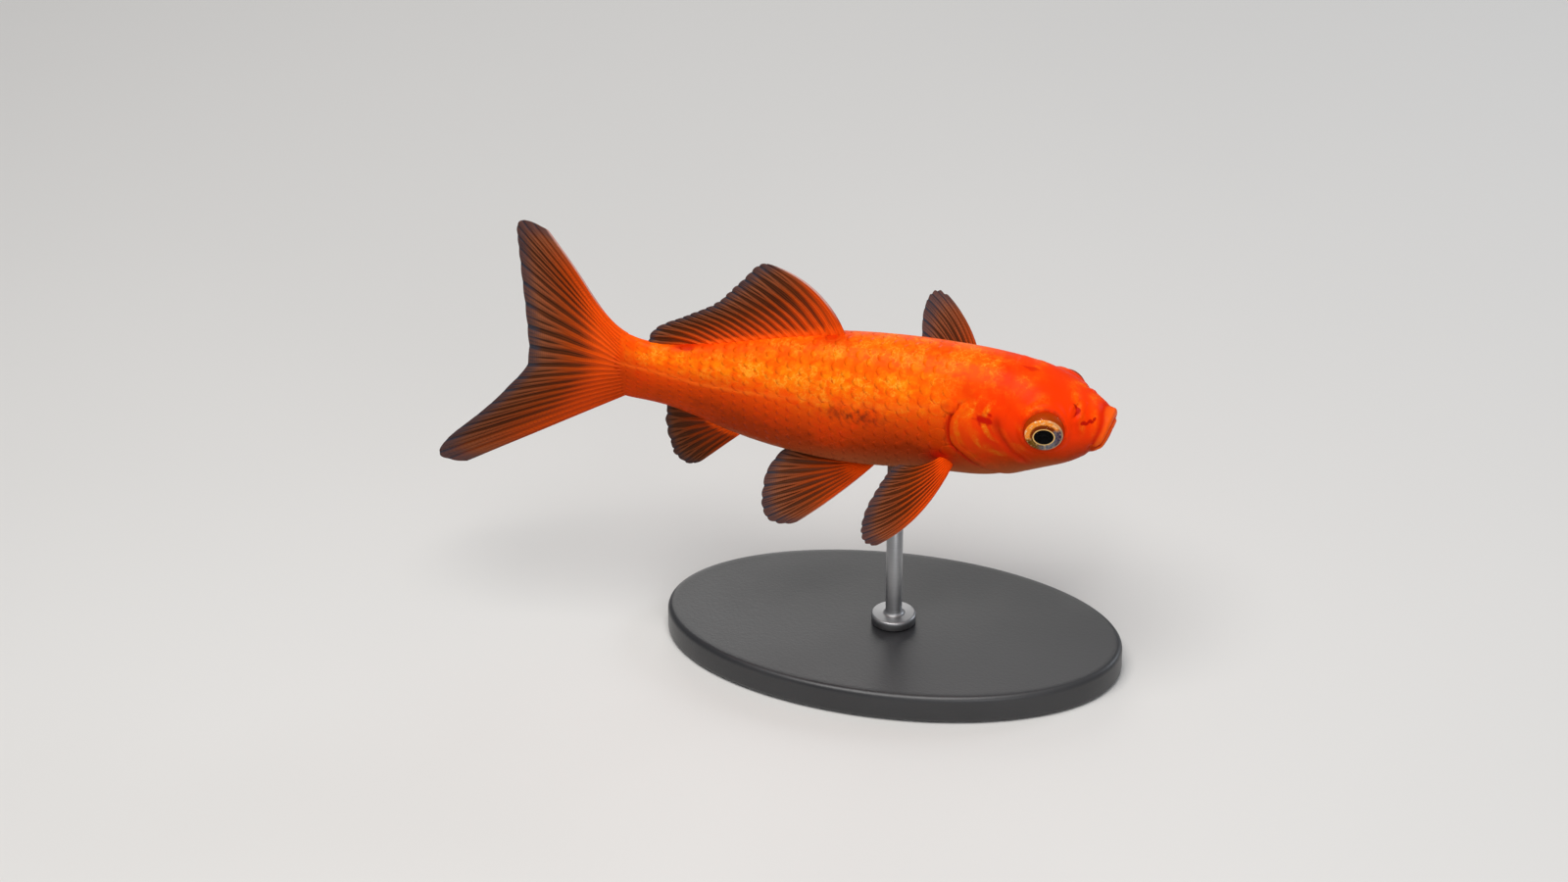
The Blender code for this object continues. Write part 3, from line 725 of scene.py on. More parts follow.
scaleCoat = {
    "first": 22.4,
    "last": 69.0,
    "columns": 31,
    "rows": 28,  # round the whole body
    "length": 1.62,  # of a scale, in pitches
    "width": 1.3,
    "rootLift": -0.02,
    "edgeLift": 0.021,
    "sideDrop": 0.016,
    "wall": 0.015,
    "jitter": (0.05, 0.06, 0.12),  # of length, of place in rows, of lift
    "tailShrink": 0.22,
    "nape": 21.8,  # s where the coat starts on the back
    "finGaps": ((37.6, 58.9, 0.5, 1), (51.0, 57.5, 0.45, -1)),  # s from and to, half width, up or down
    "lastRoot": 67.2,
    "across": 7,
    "along": 6,
    "seed": 5,
    "patch": 0.003,  # of each scale on the bake map
}


def shareToTurn():
    # turn angle at equal shares of the way round each section, from the back down the left side
    first, last, steps, parts = 20.0, 72.0, 104, 360
    stations = np.linspace(first, last, steps + 1)
    turns = np.linspace(np.pi / 2, np.pi / 2 + 2 * np.pi, 2 * parts + 1)
    shares = np.linspace(0.0, 1.0, parts + 1)
    held, side, z = bodySurface(stations[:, None], turns[None], 1.0, 1.0, 0.0)
    gone = np.hypot(np.diff(side, axis=1), np.diff(z, axis=1)).cumsum(1)
    gone = np.concatenate((np.zeros((len(stations), 1)), gone), 1) / gone[:, -1:]
    table = np.array([np.interp(shares, row, turns) for row in gone])

    def turnAt(s, share):
        # bilinear between the table's stations and shares
        a = np.clip((s - first) / (last - first) * steps, 0, steps - 0.001)
        b = (share % 1.0) * parts
        i, j = a.astype(int), np.minimum(b.astype(int), parts - 1)
        p, q = a - i, b - j
        upper = table[i, j] * (1 - q) + table[i, j + 1] * q
        return upper * (1 - p) + (table[i + 1, j] * (1 - q) + table[i + 1, j + 1] * q) * p

    return turnAt


def coatPoint(s, turn):
    fishS, side, z = bodySurface(s, turn, *tailTaper(s), insetAt(s))
    return place(fishS, side, z), fishS, side, z


def bareSkin(s, side, z, rootS):
    # no scales before the gill's edge and the nape, under the roots of the fins, or at the tail's end
    gill = pastLine(gillEdge, s, z)
    bare = (gill <= 0.15 + 0.5 * rise(z, -3.0, -6.0)) & (z <= 5.2)
    bare |= (z > 4.0) & (s < scaleCoat["nape"] - 0.9 * np.clip(z - 4.0, 0.0, 2.2))
    for start, end, half, way in scaleCoat["finGaps"]:
        bare |= (s > start) & (s < end) & (np.abs(side) < half) & (z * way > 0)
    return bare | (rootS >= scaleCoat["lastRoot"])


def buildScales():
    # a scale is a thin lens over (p, q): p runs from its root to its free edge, q across; its lift over
    # the skin is rootLift + (edgeLift - rootLift) p^0.8 (1 - 0.35 p⁵) less a crown term in q; its free
    # edge is an arc 1 - 0.34 q²
    look, rows, turnAt = scaleCoat, scaleCoat["rows"], shareToTurn()
    byLength, byPlace, byLift = look["jitter"]
    pitch = (look["last"] - look["first"]) / look["columns"]
    column, row = np.divmod(np.arange(look["columns"] * rows), rows)
    share = (row + 0.5 * (column % 2)) / rows + 1e-4  # every second column is set half a row on
    rootS = look["first"] + pitch * (column - 0.6)
    keep = ~bareSkin(*coatPoint(rootS, turnAt(rootS, share))[1:], rootS)
    share, rootS = share[keep], rootS[keep]
    rng = np.random.default_rng(look["seed"])
    longer, shifted, higher = rng.uniform(-1.0, 1.0, (4, len(rootS), 1, 1))[:3]  # the fourth isn't used
    q = np.linspace(-1.0, 1.0, look["across"])[None, :, None]
    p = np.linspace(0.0, 1.0, look["along"])[None, None, :]
    size = (1 - look["tailShrink"] * rise(rootS, 50.0, 68.0))[:, None, None]
    wide = 0.5 / rows * look["width"] * (0.72 + 0.28 * np.sin(np.pi * np.clip(p * 0.9 + 0.12, 0, 1)))
    reach = p * (1 - 0.34 * q**2) + 0.12 * q**2
    s = rootS[:, None, None] + pitch * look["length"] * size * (1 + byLength * longer) * reach
    across = share[:, None, None] + wide * q * size + byPlace / rows * shifted * p
    lift = (look["edgeLift"] * (1 + byLift * higher) - look["rootLift"]) * p**0.8 * (1 - 0.35 * p**5)
    lift = look["rootLift"] + lift - look["sideDrop"] * q**2 * (0.35 + 0.65 * p)
    s, across = np.broadcast_arrays(s, across)
    turn = turnAt(s, across)
    here, fishS, side, z = coatPoint(s, turn)
    normal = np.cross(coatPoint(s, turn + 0.01)[0] - here, coatPoint(s + 0.05, turn)[0] - here)
    normal /= np.linalg.norm(normal, axis=-1, keepdims=True)
    back, belly = sectionAt(fishS)[:2]
    normal *= np.sign((normal * (here - place(fishS, 0.0, (back + belly) / 2))).sum(-1))[..., None]
    count, grid = len(rootS), look["across"] * look["along"]
    sheets = [(here + normal * height[..., None]).reshape(count, grid, 3)
              for height in (lift, lift - look["wall"])]
    quads = boxQuads(look["across"], look["along"])
    allQuads = (quads[None] + (np.arange(count) * grid * 2)[:, None, None]).reshape(-1, 4)

    def onBothSheets(value):
        flat = value.reshape((count, grid) + value.shape[3:])
        return np.concatenate((flat, flat), 1).reshape((-1,) + value.shape[3:])

    rim = rise(p - 0.1 * (1 - q**2), 0.72, 0.98) + 0.5 * rise(np.abs(q), 0.6, 1.0) * rise(p, 0.3, 0.6)
    glow = within(p, 0.35, 0.6, 0.75, 0.95) * rise(np.abs(q), 0.9, 0.3)
    tone = rng.uniform(0.0, 1.0, len(rootS))[:, None, None]
    marks = markings(fishS, side, z, here)
    own = (np.minimum(rim, 1.0), glow, tone, 1.0)
    marks["scale"] = np.stack([np.broadcast_to(part, s.shape) for part in own], -1)
    # the bake map: a small patch at the root's place on the same unwrap as the skin's
    patch = np.stack(np.broadcast_arrays(p, q / 2 + 0.5), -1).reshape(grid, 2) * look["patch"]
    patch = np.concatenate((patch, patch))
    turned = (turnAt(rootS, share) / (2 * np.pi)) % 1.0
    seat = np.stack((np.clip(rootS / skinLook["unwrapLength"], 0, 1), turned), 1)
    uv = seat[:, None, None] + (patch[quads] - look["patch"] / 2)[None]
    walls = np.tile(np.arange(len(quads)) >= 2 * (look["across"] - 1) * (look["along"] - 1), count)
    scales = makePiece("scales", np.concatenate(sheets, 1), allQuads, {"OFBake": uv.reshape(-1, 4, 2)},
                       {key: onBothSheets(value) for key, value in marks.items()}, flat=walls)
    scales.data.materials.append(skinMaterial("goldfishScales", skinLook["scaleBump"], True))
    print("scales:", count, "scales,", len(scales.data.polygons), "faces")


buildScales()

finLook = {
    "rayRoot": (0.82, 0.075, 0.002),
    "rayOut": (0.4, 0.058, 0.004),
    "rayTip": (0.3, 0.1, 0.045),
    "skinRoot": (0.9, 0.09, 0.002),
    # the tail root's lower side: darker colour with painted shade, as on the low flank
    "skinLow": (0.55, 0.05, 0.002),
    "membrane": (0.035, 0.01, 0.003),
    "membraneWarm": (0.08, 0.018, 0.003),
    "margin": (0.034, 0.036, 0.052),
    "leading": (0.62, 0.33, 0.28),
    "roughness": 0.42,
    "marginAlpha": 0.92,
    "gloss": {"Coat Weight": 0.02, "Coat Roughness": 0.2, "Specular IOR Level": 0.05},
    "bump": 0.00006,
    "waver": (0.14, 0.07),  # of the margin, coarse and fine
    "untrue": 0.012,  # how far a ray strays from its line, in radians
    "sway": 0.1,
    "fold": 0.05,
    "rayWall": 0.3,
    "membraneWall": 0.08,
    "start": -0.09,  # where the sheet begins inside the body, in shares of a ray
}
# shadow: painted shade, how far a whole fin is taken towards the membrane's dark colour, most on the anal fin
# under the body
fins = {  # rays: share across the fin, angle in degrees, length
    "dorsal": {
        "rays": [(0.0, 43.8, 13.1), (0.1, 45.0, 13.0), (0.2, 40.5, 11.7), (0.35, 34.0, 9.9),
                 (0.5, 28.7, 8.4), (0.65, 24.2, 7.8), (0.8, 19.8, 7.2), (0.93, 6.5, 6.9), (1.0, -9.0, 5.6)],
        "root": (38.0, 58.6), "bend": 20.0, "leadBend": 34.0, "wall": 1.1, "notch": 0.2,
        "count": 18, "samples": 12, "along": 92,
        "crowd": 0.24, "lastEdge": 0.2, "fleshy": 0.12, "split": 0.45, "shadow": 0.06,
    },
    "anal": {
        "rays": [(0.0, -41.3, 7.7), (0.2, -42.2, 8.6), (0.4, -35.0, 8.5), (0.6, -27.3, 7.4),
                 (0.8, -8.0, 6.1), (1.0, 18.0, 5.0)],
        "root": (51.7, 57.0), "bend": 0.0, "wall": 1.0, "notch": 0.26,
        "count": 8, "samples": 14, "along": 80,
        "crowd": 0.3, "lastEdge": 0.2, "fleshy": 0.16, "split": 0.4, "shadow": 0.52,
    },
    "tail": {
        "rays": [(0.0, 57.0, 16.4), (0.1, 52.6, 20.3), (0.2, 49.0, 19.9), (0.3, 43.6, 17.5),
                 (0.4, 30.5, 14.2), (0.5, 8.7, 12.2), (0.55, -2.4, 12.4), (0.6, -9.0, 14.0),
                 (0.7, -16.5, 18.1), (0.8, -20.1, 22.9), (0.9, -24.0, 27.0), (1.0, -27.9, 23.7)],
        "root": (7.4, -3.2), "bend": 0.0, "rootBow": -0.28, "wall": 1.5, "notch": 0.1,
        "count": 20, "samples": 12, "along": 150,
        "crowd": 0.34, "lastEdge": 1.0, "fleshy": 0.44, "split": 0.32, "shadow": 0.05, "lower": 1.0,
    },
    "pectoral": {
        "rays": [(0.0, 2.0, 16.9), (0.15, 5.5, 18.1), (0.35, 10.0, 17.4), (0.5, 13.8, 15.7),
                 (0.7, 19.6, 12.4), (0.85, 24.4, 10.2), (1.0, 29.0, 7.4)],
        "root": ((0.0, -1.1), (0.0, 1.1)), "seat": (23.2, 5.1, -5.4),
        "bend": -1.0, "wall": 1.3, "notch": 0.17,
        "count": 11, "samples": 14, "along": 110,
        "crowd": 0.7, "lastEdge": 0.0, "fleshy": 0.2, "split": 0.4, "shadow": 0.0,
    },
    "pelvic": {
        "rays": [(0.0, -44.0, 12.9), (0.2, -39.3, 14.8), (0.4, -32.4, 15.3), (0.6, -23.5, 14.1),
                 (0.8, -11.5, 12.5), (1.0, 4.5, 9.8)],
        "root": ((0.0, 0.0), (2.4, 0.0)), "seat": (33.5, 2.0, -8.9),
        "bend": -1.0, "wall": 1.0, "notch": 0.2,
        "count": 9, "samples": 14, "along": 100,
        "crowd": 0.6, "lastEdge": 0.0, "fleshy": 0.24, "split": 0.4, "shadow": 0.15,
    },
}
finPose = {  # swing out from straight back, rise, twist of the trailing edge, curl of the tip, turn of rays
    ("pectoral", -1): (66.0, -15.5, 60.0, 0.05, 35.0),
    ("pectoral", 1): (70.0, 61.0, 10.0, -0.23, 60.0),
    ("pelvic", -1): (0.0, 0.0, 52.0, 0.0, 10.0),
    ("pelvic", 1): (0.0, 0.0, 36.0, 0.0, 10.0),
}


def rayPattern(v, u, count, split):
    # distance from the nearest branch of a ray, in ray spacings: the ray at x = 0 parts in two at
    # u = split, and each half in two again further out
    x = np.abs((v * count) % 1.0 - 0.5)
    first = np.abs(x - 0.21 * rise(u, split, split + 0.45))
    return np.abs(first - 0.1 * rise(u, split + 0.28, 1.0)), x


def finShape(kind, v, u, bend):
    # a ray leaves the root at its angle and bows: along = L(u cos - b sin), across = L(u sin + b cos),
    # b = bend/2 · u(1 - u), most on the first ray; between rays the margin draws in by a notch, and it
    # wavers a little
    count, (coarse, fine) = kind["count"], finLook["waver"]
    near, x = rayPattern(v, u, count, kind["split"])
    waver = coarse * ripple(9 * v, 2 * v, 21 + count) + fine * ripple(34 * v, v, 5 + count, 7)
    drawn = kind["notch"] * (2 * x) ** 2 + 0.08 + waver
    reach = smoothCurve(kind["rays"], 2, v) - rise(u, 0.5, 1.0) * drawn
    stray = ripple(7 * v, 1.5 * u, count, 6) * rise(u, 0.05, 0.5) * np.clip(4 * v * (1 - v), 0, 1)
    angle = np.radians(smoothCurve(kind["rays"], 1, v)) + finLook["untrue"] * stray
    bend = bend + kind.get("leadBend", 0.0) * np.clip(1 - v / 0.3, 0.0, 1.0) ** 2
    bow = np.radians(bend) / 2 * u * (1 - u)
    bow = bow + kind.get("rootBow", 0.0) * u * np.maximum(1 - u, 0) ** 4 * rise(v, 0.3, 0.0)
    first, second = u * np.cos(angle) - bow * np.sin(angle), u * np.sin(angle) + bow * np.cos(angle)
    return reach * first, reach * second, near


def finMesh(name, node, kind, centre, bend, start=finLook["start"]):
    # a sheet from root to margin on both sides of its middle surface, with a wall that swells over the rays
    # and the fleshy root
    count, along = kind["count"], kind["along"]
    across = count * kind["samples"] + 1
    v = np.linspace(0.0, 1.0, across)[:, None]
    u = (start + (1 - start) * np.linspace(0.0, 1.0, along) ** 0.92)[None]
    first, second, near = finShape(kind, v, np.clip(u, start, 1), bend)
    middle = centre(first, second, v)
    normal = gridNormals(middle, False)
    inner = np.clip(u, 0.0, 1.0)
    # gentle folds: the sheet sways a little between rays and over its whole breadth
    sway = finLook["sway"] * ripple(6 * v, 3 * u, 40 + count, 4) * rise(inner, 0.1, 0.7)
    sway = sway + finLook["fold"] * np.cos(2 * np.pi * v * count) * rise(inner, 0.25, 0.9)
    middle = middle + normal * sway[..., None]
    ray = rise(near, 0.17, 0.03) * (1 - 0.62 * inner)
    edge = rise(v, 0.03, 0.0) * 0.8 + rise(v, 0.985, 1.0) * 0.25
    flesh = (1 - inner) ** 4 * (1 - (2 * v - 1) ** 4)
    wall = finLook["membraneWall"] + finLook["rayWall"] * np.maximum(ray, edge * (1 - 0.7 * inner))
    wall = (wall + (kind["wall"] - 0.3) * flesh) * rise(inner, 1.02, 0.93) + 0.05
    wall = np.broadcast_to(wall, normal.shape[:2])[..., None] / 2
    points = np.concatenate([(middle + way * normal * wall).reshape(-1, 3) for way in (1, -1)])
    quads = boxQuads(across, along)
    flat = np.stack(np.broadcast_arrays(v, u), -1).reshape(-1, 2)
    piece = makePiece(name, points, quads, {"finMap": np.concatenate((flat, flat))[quads]})
    piece.data.materials.append(kind["material"])
    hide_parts(node)
    print(name + ":", len(quads), "faces")


def finRays():
    # the same ray pattern as the mesh's, drawn finer: x = |fract(v n) - 1/2|, parted twice, with cross joints
    look = finLook
    labels = ("Across", "Along", "Count", "Split", "Fleshy", "Crowd", "Longest", "Lower", "Shadow")
    tree, given, out = newGroup(
        "finRays", [(label, "Float", 0.0) for label in labels],
        [("Color", "Color"), ("Alpha", "Float"), ("Height", "Float"), ("Roughness", "Float")])
    across, along, count, split, fleshy, crowd, longest, lower, shadow = (given[label] for label in labels)
    u = calc("MAXIMUM", along, 0.0)
    spread = combine(across * count, along * 3.0)
    lane = across * count + (noise(spread, 0.9, 1.0) * 0.16 - 0.08)
    # edge = 1 along the fin's crowded borders, where the rays are broad and close
    lastEdge = between(1.0 - across, crowd * 0.5, 0.0) * longest
    edge = calc("MAXIMUM", between(across, crowd * 0.5, 0.0), lastEdge)
    own = Wire(makeNode("TexWhiteNoise", {"W": calc("FLOOR", lane)}, noise_dimensions="1D")["Value"])
    parting = own * 0.14 + (split - 0.07)
    one = between(u, parting, parting + 0.45, 0.0, 0.21)
    two = between(u, parting + 0.28, 1.0, 0.0, 0.1)
    near = abs(abs(abs(calc("FRACT", lane) - 0.5) - one) - two)
    width = between(u, fleshy * 0.5, 0.85, 0.46, 0.1) + own * 0.06 + edge * between(u, 0.35, 1.0, 0.3, 0.06)
    ray = between(near, width, width * 0.35)
    joint = between(calc("FRACT", u * 46.0 + own * 3.0), 0.82, 0.95) * between(u, 0.12, 0.3)
    grain = noise(combine(lane * 9.0, u * 5.0), 1.0, 3.0, 0.6)
    # fine lines, five to a ray and its membrane
    line = between(abs(calc("FRACT", lane * 5.0 + grain * 0.6) - 0.5), 0.42, 0.12)
    # on the tail, Lower takes the lower lobe's rays and root darker: painted shade with darker colour, as on
    # the body's low flank
    bone = paint(
        look["rayRoot"], look,
        (between(u - edge * 0.3, 0.08, 0.7), "rayOut"),
        (between(u, 0.5, 0.95), "rayTip"),
        (lower * between(across, 0.45, 0.75, 0.0, 0.35), "membrane"),
        (joint * 0.45, "membrane"))
    warm = between(noise(spread, 0.45), 0.35, 0.7)
    film = paint(look["membrane"], look, (warm, "membraneWarm"), (edge * 0.6, "rayOut"))
    strength = ray * between(grain, 0.2, 0.6, 0.5, 0.7) + line * between(u, 0.2, 0.7, 0.34, 0.2)
    rim = between(u + (grain * 0.2 - 0.1), 0.83, 0.975)
    root = between(u + (grain * 0.3 - 0.15), fleshy, fleshy * 0.26)
    color = paint(
        film, look,
        (strength, bone),
        (rim * between(ray, 0.0, 1.0, 0.95, 0.6), "margin"),
        # painted shade over the whole fin
        (shadow, "membrane"),
        (root, mix(lower * between(across, 0.3, 0.75), look["skinRoot"], look["skinLow"])),
        (between(across, 0.012, 0.002) * between(u, 0.1, 0.4), "leading"))
    feed(out["Color"], color)
    feed(out["Alpha"], 1.0 - rim * (1 - look["marginAlpha"]))
    feed(out["Height"], ray + (grain - joint) * 0.25)
    feed(out["Roughness"], between(ray, 0.0, 1.0, look["roughness"] - 0.1, look["roughness"] + 0.05))
    return tree


finGroup = finRays()


def finMaterial(kind):
    material, tree, shader = newMaterial("finRays" + str(kind["count"]), finLook["gloss"])
    across, along = readMap(tree, "finMap")
    given = {"Across": across, "Along": along, "Longest": kind["lastEdge"], "Lower": kind.get("lower", 0.0)}
    given |= {key.capitalize(): kind[key] for key in ("count", "split", "fleshy", "crowd", "shadow")}
    useGroup(tree, finGroup, given, shader, finLook["bump"])
    return material


def middleFin(name, node, kind, rootLine):
    # a fin in the body's curved middle plane, from the root line (s, z) over v
    def centre(first, second, v):
        s, z = rootLine(kind["root"][0] + (kind["root"][1] - kind["root"][0]) * v, v)
        return place(s + first, 0.0, z + second)

    finMesh(name, node, kind, centre, kind["bend"])


def pairedFin(label, side, start=finLook["start"]):
    # lead = direction of the first ray, spread = across the rays, turned up about it by the twist
    kind, pose, word = fins[label], finPose[label, side], "right" if side < 0 else "left"
    swing, up, twist = np.radians(pose[:3])
    lead = np.array((-np.cos(up) * np.cos(swing), np.cos(up) * np.sin(swing), np.sin(up)))
    ahead = np.cross(lead, (0.0, 0.0, 1.0))
    ahead /= np.linalg.norm(ahead)
    spread = -np.cos(twist) * ahead + np.sin(twist) * np.cross(ahead, lead)
    normal = np.cross(lead, spread)
    seat = place(kind["seat"][0], side * kind["seat"][1], kind["seat"][2])
    root = np.array(kind["root"])

    def centre(first, second, v):
        first = first + root[0, 0] + (root[1, 0] - root[0, 0]) * v
        second = second + root[0, 1] + (root[1, 1] - root[0, 1]) * v
        curl = pose[3] * first**2 / kind["rays"][0][2]
        offset = first[..., None] * lead + second[..., None] * spread + curl[..., None] * normal
        return seat + offset * (1.0, side, 1.0)

    finMesh(label + "Fin." + word, label + "_fin_" + word, kind, centre, kind["bend"] * pose[4], start)


for kind in fins.values():
    kind["material"] = finMaterial(kind)
# the roots of the middle fins dip into the body, most at the rear end
middleFin("dorsalFin", "dorsal_fin", fins["dorsal"],
          lambda s, v: (s, smoothCurve(body["sections"], 1, s) - 0.1 - 0.4 * rise(v, 0.75, 1.0)))
middleFin("analFin", "anal_fin", fins["anal"],
          lambda s, v: (s, smoothCurve(body["sections"], 2, s) + 0.1 + 0.45 * rise(v, 0.6, 1.0)))
middleFin("tailFin", "tail_fin", fins["tail"], lambda z, v: (body["rear"], z))
pairedFin("pectoral", -1)
pairedFin("pelvic", -1)
pairedFin("pectoral", 1, -0.03)
pairedFin("pelvic", 1)

eyeLook = {
    "pupil": (0.002, 0.002, 0.002),
    "ring": (0.95, 0.6, 0.2),
    "gold": (1.0, 0.3, 0.03),
    "glint": (1.0, 0.66, 0.36),
    "innerRed": (0.2, 0.03, 0.003),
    "olive": (0.16, 0.075, 0.008),
    "silver": (0.15, 0.16, 0.19),
    "violet": (0.06, 0.04, 0.08),
    "rim": (0.6, 0.38, 0.2),
    "dark": (0.03, 0.013, 0.006),
    "socket": (0.5, 0.03, 0.001),
    # lidShade: the ball's side near the top of the iris, darker by painted shade under the fold
    "lidShade": (0.36, 0.042, 0.002),
    "cornea": {"Base Color": (1.0, 1.0, 1.0, 1.0), "Metallic": 1.0, "Roughness": 0.03, "Alpha": 0.002},
    "crown": 0.2,  # how far the iris bulges in its middle
    "rings": 84,
    "around": 128,
}


def irisMaterial():
    # rings by the distance from the middle of the pupil, sectors by the height and front-to-back place
    look = eyeLook
    material, tree, shader = newMaterial("irisUnderGloss", {"Specular IOR Level": 0.02})
    x, y = readMap(tree, "irisMap")
    far = calc("SQRT", x * x + y * y)
    fleck = noise(combine(calc("ARCTAN2", y, x) * 2.2, far * 2.5), 2.6, 4.0, 0.65)
    cloud = noise(combine(x, y), 5.0, 3.0, 0.6)
    wobble = cloud * 0.5 - 0.25
    # lower half: olive behind, silver and violet in front
    low = paint(
        look["olive"], look,
        (between(x + wobble, -0.45, 0.1), "silver"),
        (between(x + wobble, 0.45, 0.8), "violet"),
        (between(fleck, 0.5, 0.66) * 0.7, "rim"),
        (between(fleck, 0.46, 0.34) * 0.75, "dark"))
    # upper half: dark red inside, bright gold outside, with pale flecks of painted glint near its edge
    gold = mix(between(fleck, 0.5, 0.66) * between(far, 0.7, 0.85), look["gold"], look["glint"])
    high = mix(between(far + wobble * 0.25, 0.67, 0.79), look["innerRed"], gold)
    # the ball's side round the iris: red-orange, and browner near the top of the iris, a painted shade under
    # the fold
    lidShade = mix(between(y, 0.2, 0.8) * between(far, 1.25, 1.06), look["socket"], look["lidShade"])
    # the pupil sits a little low in the iris and is a little wider than high
    pupil = eye["pupil"] / eye["iris"]
    lowered = y * 1.07 + 0.075
    centred = calc("SQRT", x * x + lowered * lowered)
    ring = between(centred, pupil, pupil + 0.02) * between(centred, pupil + 0.085, pupil + 0.05)
    color = paint(
        low, look,
        (between(y - x * 0.42 + wobble * 0.5, -0.06, 0.24), high),
        (between(far, 0.9, 0.95) * between(x, -0.2, 0.6, 0.0, 0.6), "rim"),
        (between(far, 0.995, 1.03), lidShade),
        (ring * between(cloud, 0.3, 0.5, 0.6, 1.0), "ring"),
        (between(centred, pupil + 0.012, pupil - 0.012), "pupil"))
    feed(shader.inputs["Base Color"], color)
    shine = between(centred, pupil, pupil + 0.04) * between(fleck, 0.35, 0.6, 0.0, 0.1)
    feed(shader.inputs["Metallic"], shine)
    feed(shader.inputs["Roughness"], between(fleck, 0.3, 0.7, 0.25, 0.42))
    bump(shader, fleck, 0.00004)
    return material


def buildEye(name, side, iris, cornea):
    # an ellipsoid (r sin a, r sin a, b cos a), a from the middle of the pupil, cut off by a nearly flat iris:
    # height = min(b cos a, depth + c (1 - far²)); the clear cornea is the whole ellipsoid, a little larger
    aim, rings, around = eyeAim[side], eyeLook["rings"], eyeLook["around"]
    a = np.linspace(0.02, np.pi - 0.02, rings)[:, None]
    turn = np.linspace(0, 2 * np.pi, around, endpoint=False)[None]

    def turned(far, height):
        x, y, out = (part[..., None] for part in (far * np.cos(turn), far * np.sin(turn), height + 0 * turn))
        return aim["middle"] + x * aim["front"] + y * aim["up"] + out * aim["out"]

    far, ball = (eye["radius"] - eye["gloss"]) * np.sin(a), (eye["bulge"] - eye["gloss"]) * np.cos(a)
    dome = eye["irisDepth"] + eyeLook["crown"] * (1 - (far / eye["iris"]) ** 2)
    quads, caps = ringQuads(rings, around)[0], endRings(rings, around)
    front = np.where(a < np.pi / 2, far, 2 * eye["radius"] - far) / eye["iris"]
    flat = np.stack((front * np.cos(turn), front * np.sin(turn)), -1).reshape(-1, 2)
    height = np.where(a < np.pi / 2, np.minimum(ball, dome), ball)
    made = makePiece("eyeball." + name, turned(far, height), quads, {"irisMap": flat[quads]}, caps=caps)
    made.data.materials.append(iris)
    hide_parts("eye_" + name)
    shell = turned(eye["radius"] * np.sin(a), eye["bulge"] * np.cos(a))
    clear = makePiece("cornea." + name, shell, quads, caps=caps)
    clear.data.materials.append(cornea)


iris = irisMaterial()
cornea = newMaterial("clearCornea", eyeLook["cornea"])[0]
buildEye("right", -1, iris, cornea)
buildEye("left", 1, iris, cornea)
print("eyes made")

stand = {
    "length": 62.0,
    "width": 36.0,
    "thickness": 4.0,
    "edge": 0.8,
    "gap": 0.25,
    "post": 1.1,
    "foot": 3.0,
    "footHeight": 1.2,
    "footEdge": 0.3,
    "fillet": 0.5,
    "socket": 3.0,
    "black": ((0.022, 0.022, 0.024), (0.03, 0.03, 0.032)),
    "steel": ((0.3, 0.3, 0.31), (0.5, 0.5, 0.5)),
    "brushing": (90.0, 90.0, 5200.0),
}


def turnedPiece(name, profile, half, wide, around):
    # a profile of (offset, height) carried round an oval: x = (half + offset) cos t,
    # y = (wide + offset) sin t
    offset, height = np.array(profile, float).T[:, :, None]
    turn = np.linspace(0, 2 * np.pi, around, endpoint=False)[None]
    points = np.stack(((half + offset) * np.cos(turn), (wide + offset) * np.sin(turn), height + 0 * turn), -1)
    return makePiece(name, points, ringQuads(len(profile), around)[0], caps=endRings(len(profile), around))


def roundedCorner(centre, radius, start, end, count=8):
    turn = np.radians(np.linspace(start, end, count))
    return [(centre[0] + radius * np.cos(t), centre[1] + radius * np.sin(t)) for t in turn]


def buildBase():
    edge, top = stand["edge"], stand["thickness"]
    profile = ([(-8.0, 0.0), (-3.0, 0.0), (-edge, 0.0)] + roundedCorner((-edge, edge), edge, -90, 0)
               + roundedCorner((-edge, top - edge), edge, 0, 90)
               + [(-edge - 0.5, top), (-3.0, top), (-8.0, top)])
    base = turnedPiece("standBase", profile, stand["length"] / 2, stand["width"] / 2, 192)
    material, tree, shader = newMaterial("satinBlackPaint", {"Coat Weight": 0.15, "Coat Roughness": 0.3})
    spot = objectPlace(tree)
    cloud = noise(spot, 60.0, 3.0)
    feed(shader.inputs["Base Color"], mix(between(cloud, 0.3, 0.7), *stand["black"]))
    feed(shader.inputs["Roughness"], between(cloud, 0.3, 0.7, 0.36, 0.46))
    bump(shader, noise(spot, 2600.0), 0.00002)
    base.data.materials.append(material)
    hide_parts("stand_base")


def buildPost():
    foot, radius, fillet = stand["thickness"] + stand["gap"], stand["post"], stand["fillet"]
    shoulder, edge = foot + stand["footHeight"], stand["footEdge"]
    belly = float(smoothCurve(body["sections"], 2, body["postStation"]))
    tip = body["axisHeight"] + belly + stand["socket"] - stand["gap"]
    outline = ([(1.5, foot), (stand["foot"], foot)]
               + roundedCorner((stand["foot"] - edge, shoulder - edge), edge, 0, 90)
               + roundedCorner((radius + fillet, shoulder + fillet), fillet, 270, 180)
               + [(radius, tip), (0.5, tip)])
    post = turnedPiece("standPost", outline, 0.0, 0.0, 64)
    material, tree, shader = newMaterial("brushedSteel", {"Metallic": 1.0})
    x, y, z = (part * scale for part, scale in zip(separate("XYZ", objectPlace(tree)), stand["brushing"]))
    grain = noise(combine(x, y, z), 1.0, 3.0)
    feed(shader.inputs["Base Color"], mix(grain, *stand["steel"]))
    feed(shader.inputs["Roughness"], between(grain, 0.3, 0.7, 0.38, 0.55))
    bump(shader, grain, 0.00001)
    post.data.materials.append(material)
    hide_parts("stand_post")


buildBase()
buildPost()
print("stand made")

